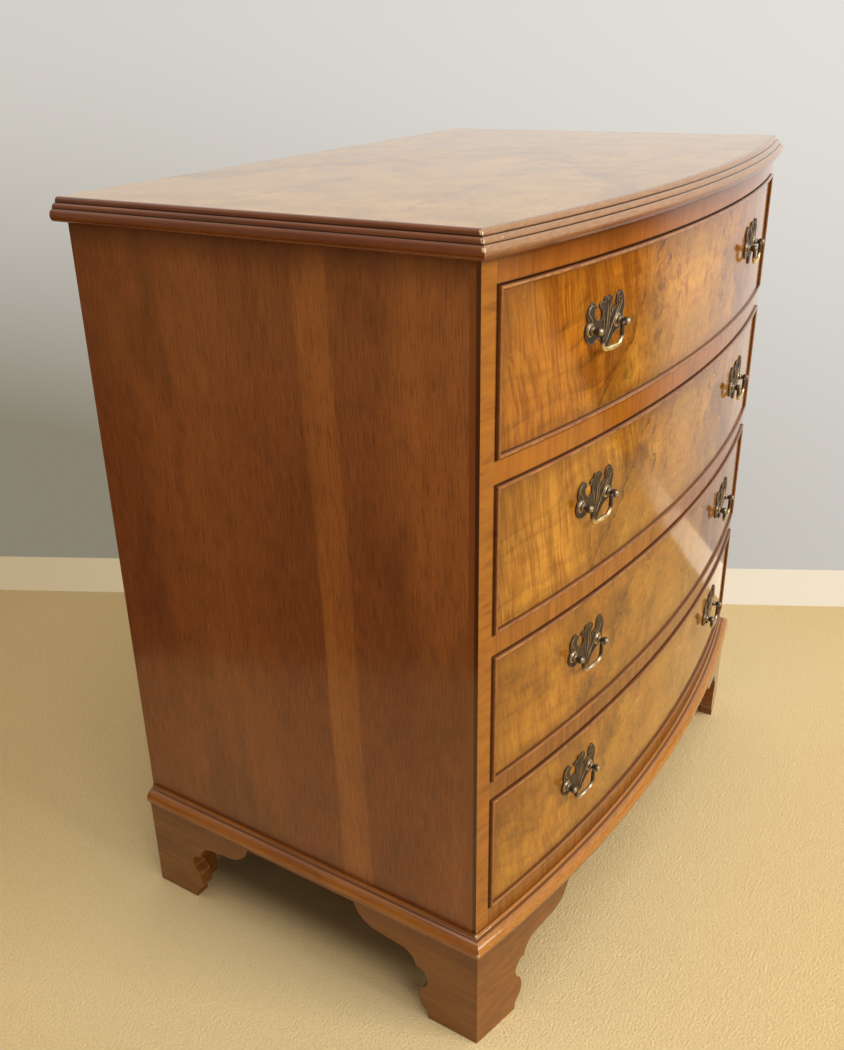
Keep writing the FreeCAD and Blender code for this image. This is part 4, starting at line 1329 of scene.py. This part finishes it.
@dataclass
class Room:
    """The pale floor and wall, the world's light and the soft lamps."""

    floor_colour: Colour = (0.97, 0.71, 0.345)
    wall_high: Colour = (0.78, 0.755, 0.715)
    wall_low: Colour = (0.25, 0.225, 0.165)
    skirting_near: Colour = (0.90, 0.77, 0.58)
    skirting_far: Colour = (0.50, 0.39, 0.23)
    beyond: Colour = (0.11, 0.062, 0.028)
    screen_colour: Colour = (0.05, 0.026, 0.014)
    skirting_height: float = 0.074
    dim: Colour = (0.30, 0.27, 0.25)
    ceiling: Colour = (1.04, 0.97, 0.85)
    wall_way: tuple[float, float] = (0.880, 0.476)
    wall_distance: float = 0.5355

    def build(self) -> None:
        """Lays the floor, stands the wall and hangs the lamps."""
        self.lay_floor()
        self.stand_wall()
        self.light_world()
        self.stand_screen()
        self.hang("window_light", (0.6, -5.6, 3.6), (0.0, 0.0, 0.45), (3.0, 2.6), 262.0)
        self.hang("ceiling_light", (0.0, -0.3, 3.6), (0.0, 0.0, 0.6), (3.2, 3.2), 56.0)
        self.hang("left_light", (-2.4, -3.4, 2.4), (-0.4, -0.2, 0.3), (2.0, 2.0), 46.0)

    def lay_floor(self) -> None:
        """Lays a wide pale floor that keeps the chest's shadow, with painted shade towards the left wall and under the
        chest, and painted light next to its sides and front.
        """
        bench = Bench("pale_floor")
        across = abs(bench.x)
        away = bench.x * -0.6 + bench.y * 0.8
        specks = bench.place.cloud(360.0, 3.0, 0.75).step(0.42, 0.60)
        painted_light_beside = bench.most(across - 0.37, -0.20 - bench.y).step(0.55, 0.0) * bench.y.step(0.60, 0.05)
        under = across.step(0.375, 0.325) * (bench.y.step(-0.18, -0.10) * bench.y.step(0.245, 0.195))
        # Painted shade darkens the floor towards the left wall, painted light brightens it next to the chest, and a
        # painted shadow darkens it under the chest.
        colour = bench.blend(bench.place.cloud(3.0) * 0.14, self.floor_colour, (0.56, 0.39, 0.19)).stained(
            ((0.42, 0.255, 0.085), away.step(0.3, 1.7) * 0.75), ((0.52, 0.345, 0.14), specks * 0.32),
            ((1.0, 0.79, 0.42), painted_light_beside * 0.75), ((0.13, 0.076, 0.032), under * 0.82))
        pile = bench.place.cloud(340.0, 3.0, 0.75).relief(0.0028)
        material = bench.finish(Base_Color=colour, Roughness=0.9, Specular_IOR_Level=0.0, Normal=pile)
        floor = sheet("floor", 9.0, Matrix.Identity(4), -1.0, material)

    def stand_wall(self) -> None:
        """Stands a pale glowing wall behind the chest, seen only from the chest's side, with its light and shade
        painted into its glow.
        """
        bench = Bench("pale_wall")
        camera, glossy, through = bench.seen("Camera", "Glossy", "Transmission")
        shown = bench.most(camera, glossy, through) * (1.0 - bench.lay("NewGeometry", output="Backfacing"))
        # Painted shade: the wall and its skirting are darker to the left and low down.
        left = bench.y.step(-0.40, 1.10)
        low = bench.z.step(1.05, 0.02) * (left * 0.62 + 0.36)
        lower = bench.z.step(self.skirting_height + 0.0004, self.skirting_height - 0.0004, False)
        along = bench.x * self.wall_way[1] + bench.y * -self.wall_way[0]
        # Painted reflection: a dark patch past the wall's end, and a brighter skirting and upper wall, seen only in the
        # polish.
        ended = along.step(0.95, 1.50) * bench.z.step(0.95, 0.65) * glossy
        board = bench.blend(left, self.skirting_near, self.skirting_far)
        paint = bench.blend(left * 0.26 + low, self.wall_high, self.wall_low)
        paint = paint.stained((board, lower), (self.beyond, ended))
        mirrored = lower * 0.55 + bench.z.step(0.08, 0.50) * 0.25
        material = bench.glow(paint, shown, glossy * mirrored + 1.0)
        way = Vector((-self.wall_way[0], -self.wall_way[1], 0.0)).normalized()
        middle = -way * self.wall_distance + Vector((0.0, 0.0, 2.0))
        wall = sheet("wall", 6.0, Matrix.Translation(middle) @ facing(way), 0.0, material)
        wall.visible_shadow = False

    def stand_screen(self) -> None:
        """Stands a low dark screen on the left that only the polish sees."""
        bench = Bench("dark_screen")
        glossy, = bench.seen("Glossy")
        # Painted reflection: a dark sheet that only the polish sees, darkening the reflection in the chest's left side.
        material = bench.glow(self.screen_colour, glossy * bench.z.step(0.62, 0.42))
        place = Matrix.Translation((-0.860, 0.409, 0.0)) @ facing(Vector((0.903, -0.4295, 0.0)).normalized())
        screen = sheet("screen", 0.9, place, 0.002, material)
        screen.visible_camera = False
        screen.visible_diffuse = False
        screen.visible_shadow = False

    def light_world(self) -> None:
        """Gives an even light from all round, and a pale background to the eye and to polish."""
        world = bpy.data.worlds.new("room_light")
        world.use_nodes = True
        sky = Nodes(world.node_tree)
        camera, glossy = sky.seen("Camera", "Glossy")
        east, _, up = sky.split(sky.lay("TexCoord", output="Generated"))
        ceiling = (up * (east + 0.6)).ramp([(0.03, self.dim), (0.40, self.ceiling)])
        light = sky.lay("Background", {"Color": (1.0, 0.97, 0.93), "Strength": 0.25})
        pale = sky.lay("Background", {"Color": sky.blend(camera, ceiling, self.wall_high)})
        mixed = sky.lay("MixShader", {0: sky.most(camera, glossy), 1: light, 2: pale})
        sky.node("OutputWorld", {"Surface": mixed})
        bpy.context.scene.world = world

    def hang(self, name: str, place: Place, target: Place, size: tuple[float, float], power: float) -> None:
        """Hangs one soft lamp.

        Args:
            name: What it is called.
            place: Where it hangs.
            target: What it points at.
            size: Its width and height.
            power: Its power in watts.
        """
        data = bpy.data.lights.new(name, "AREA")
        data.shape = "RECTANGLE"
        data.size, data.size_y = size
        data.energy = power
        data.color = (1.0, 0.98, 0.95)
        lamp = bpy.data.objects.new(name, data)
        lamp.matrix_world = Matrix.Translation(place) @ facing(Vector(place) - Vector(target))
        bpy.context.scene.collection.objects.link(lamp)


@dataclass
class Viewpoint:
    """Where the chest is looked at from, above its near corner."""

    place: Place = (-1.083446, -0.600716, 0.973820)
    right: Place = (0.56070958, -0.82740107, -0.03181569)
    down: Place = (-0.36993462, -0.21594951, -0.90361175)
    ahead: Place = (0.74077874, 0.51843349, -0.42716926)
    lens: float = 36.59
    shift: tuple[float, float] = (0.0392, 0.0102)

    def build(self) -> None:
        """Sets up the camera."""
        data = bpy.data.cameras.new("camera")
        data.sensor_fit = "AUTO"
        data.sensor_width = 36.0
        data.lens = self.lens
        data.shift_x, data.shift_y = self.shift
        data.clip_start = 0.05
        data.clip_end = 50.0
        camera = bpy.data.objects.new("camera", data)
        columns = (Vector(self.right), -Vector(self.down), -Vector(self.ahead))
        camera.matrix_world = Matrix.Translation(self.place) @ Matrix(columns).transposed().to_4x4()
        bpy.context.scene.collection.objects.link(camera)
        bpy.context.scene.camera = camera


def main() -> None:
    """Builds and dresses the chest, then sets the room round it."""
    logging.basicConfig(level=logging.INFO, format="%(name)s: %(message)s")
    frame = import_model()
    nodes = frame["nodes"]
    Viewpoint().build()
    Carcass(nodes).dress()
    deep, across = BareOak("lining_deep", Run.DEEP).dress(), BareOak("lining_across", Run.ACROSS).dress()
    lining = {"side_left": deep, "side_right": deep, "back": across, "bottom": across}
    brass = OldBrass().dress()
    plate = Backplate(nodes["drawer_4_handle_plates"]).build()
    posts = Post().build()
    for number in (1, 2, 3, 4):
        drawer = Drawer(number, nodes)
        drawer.dress(lining)
        drawer.hang_handles(plate, posts, brass)
    Room().build()
    bpy.context.scene.view_settings.view_transform = "Standard"


if __name__ == "__main__":
    main()
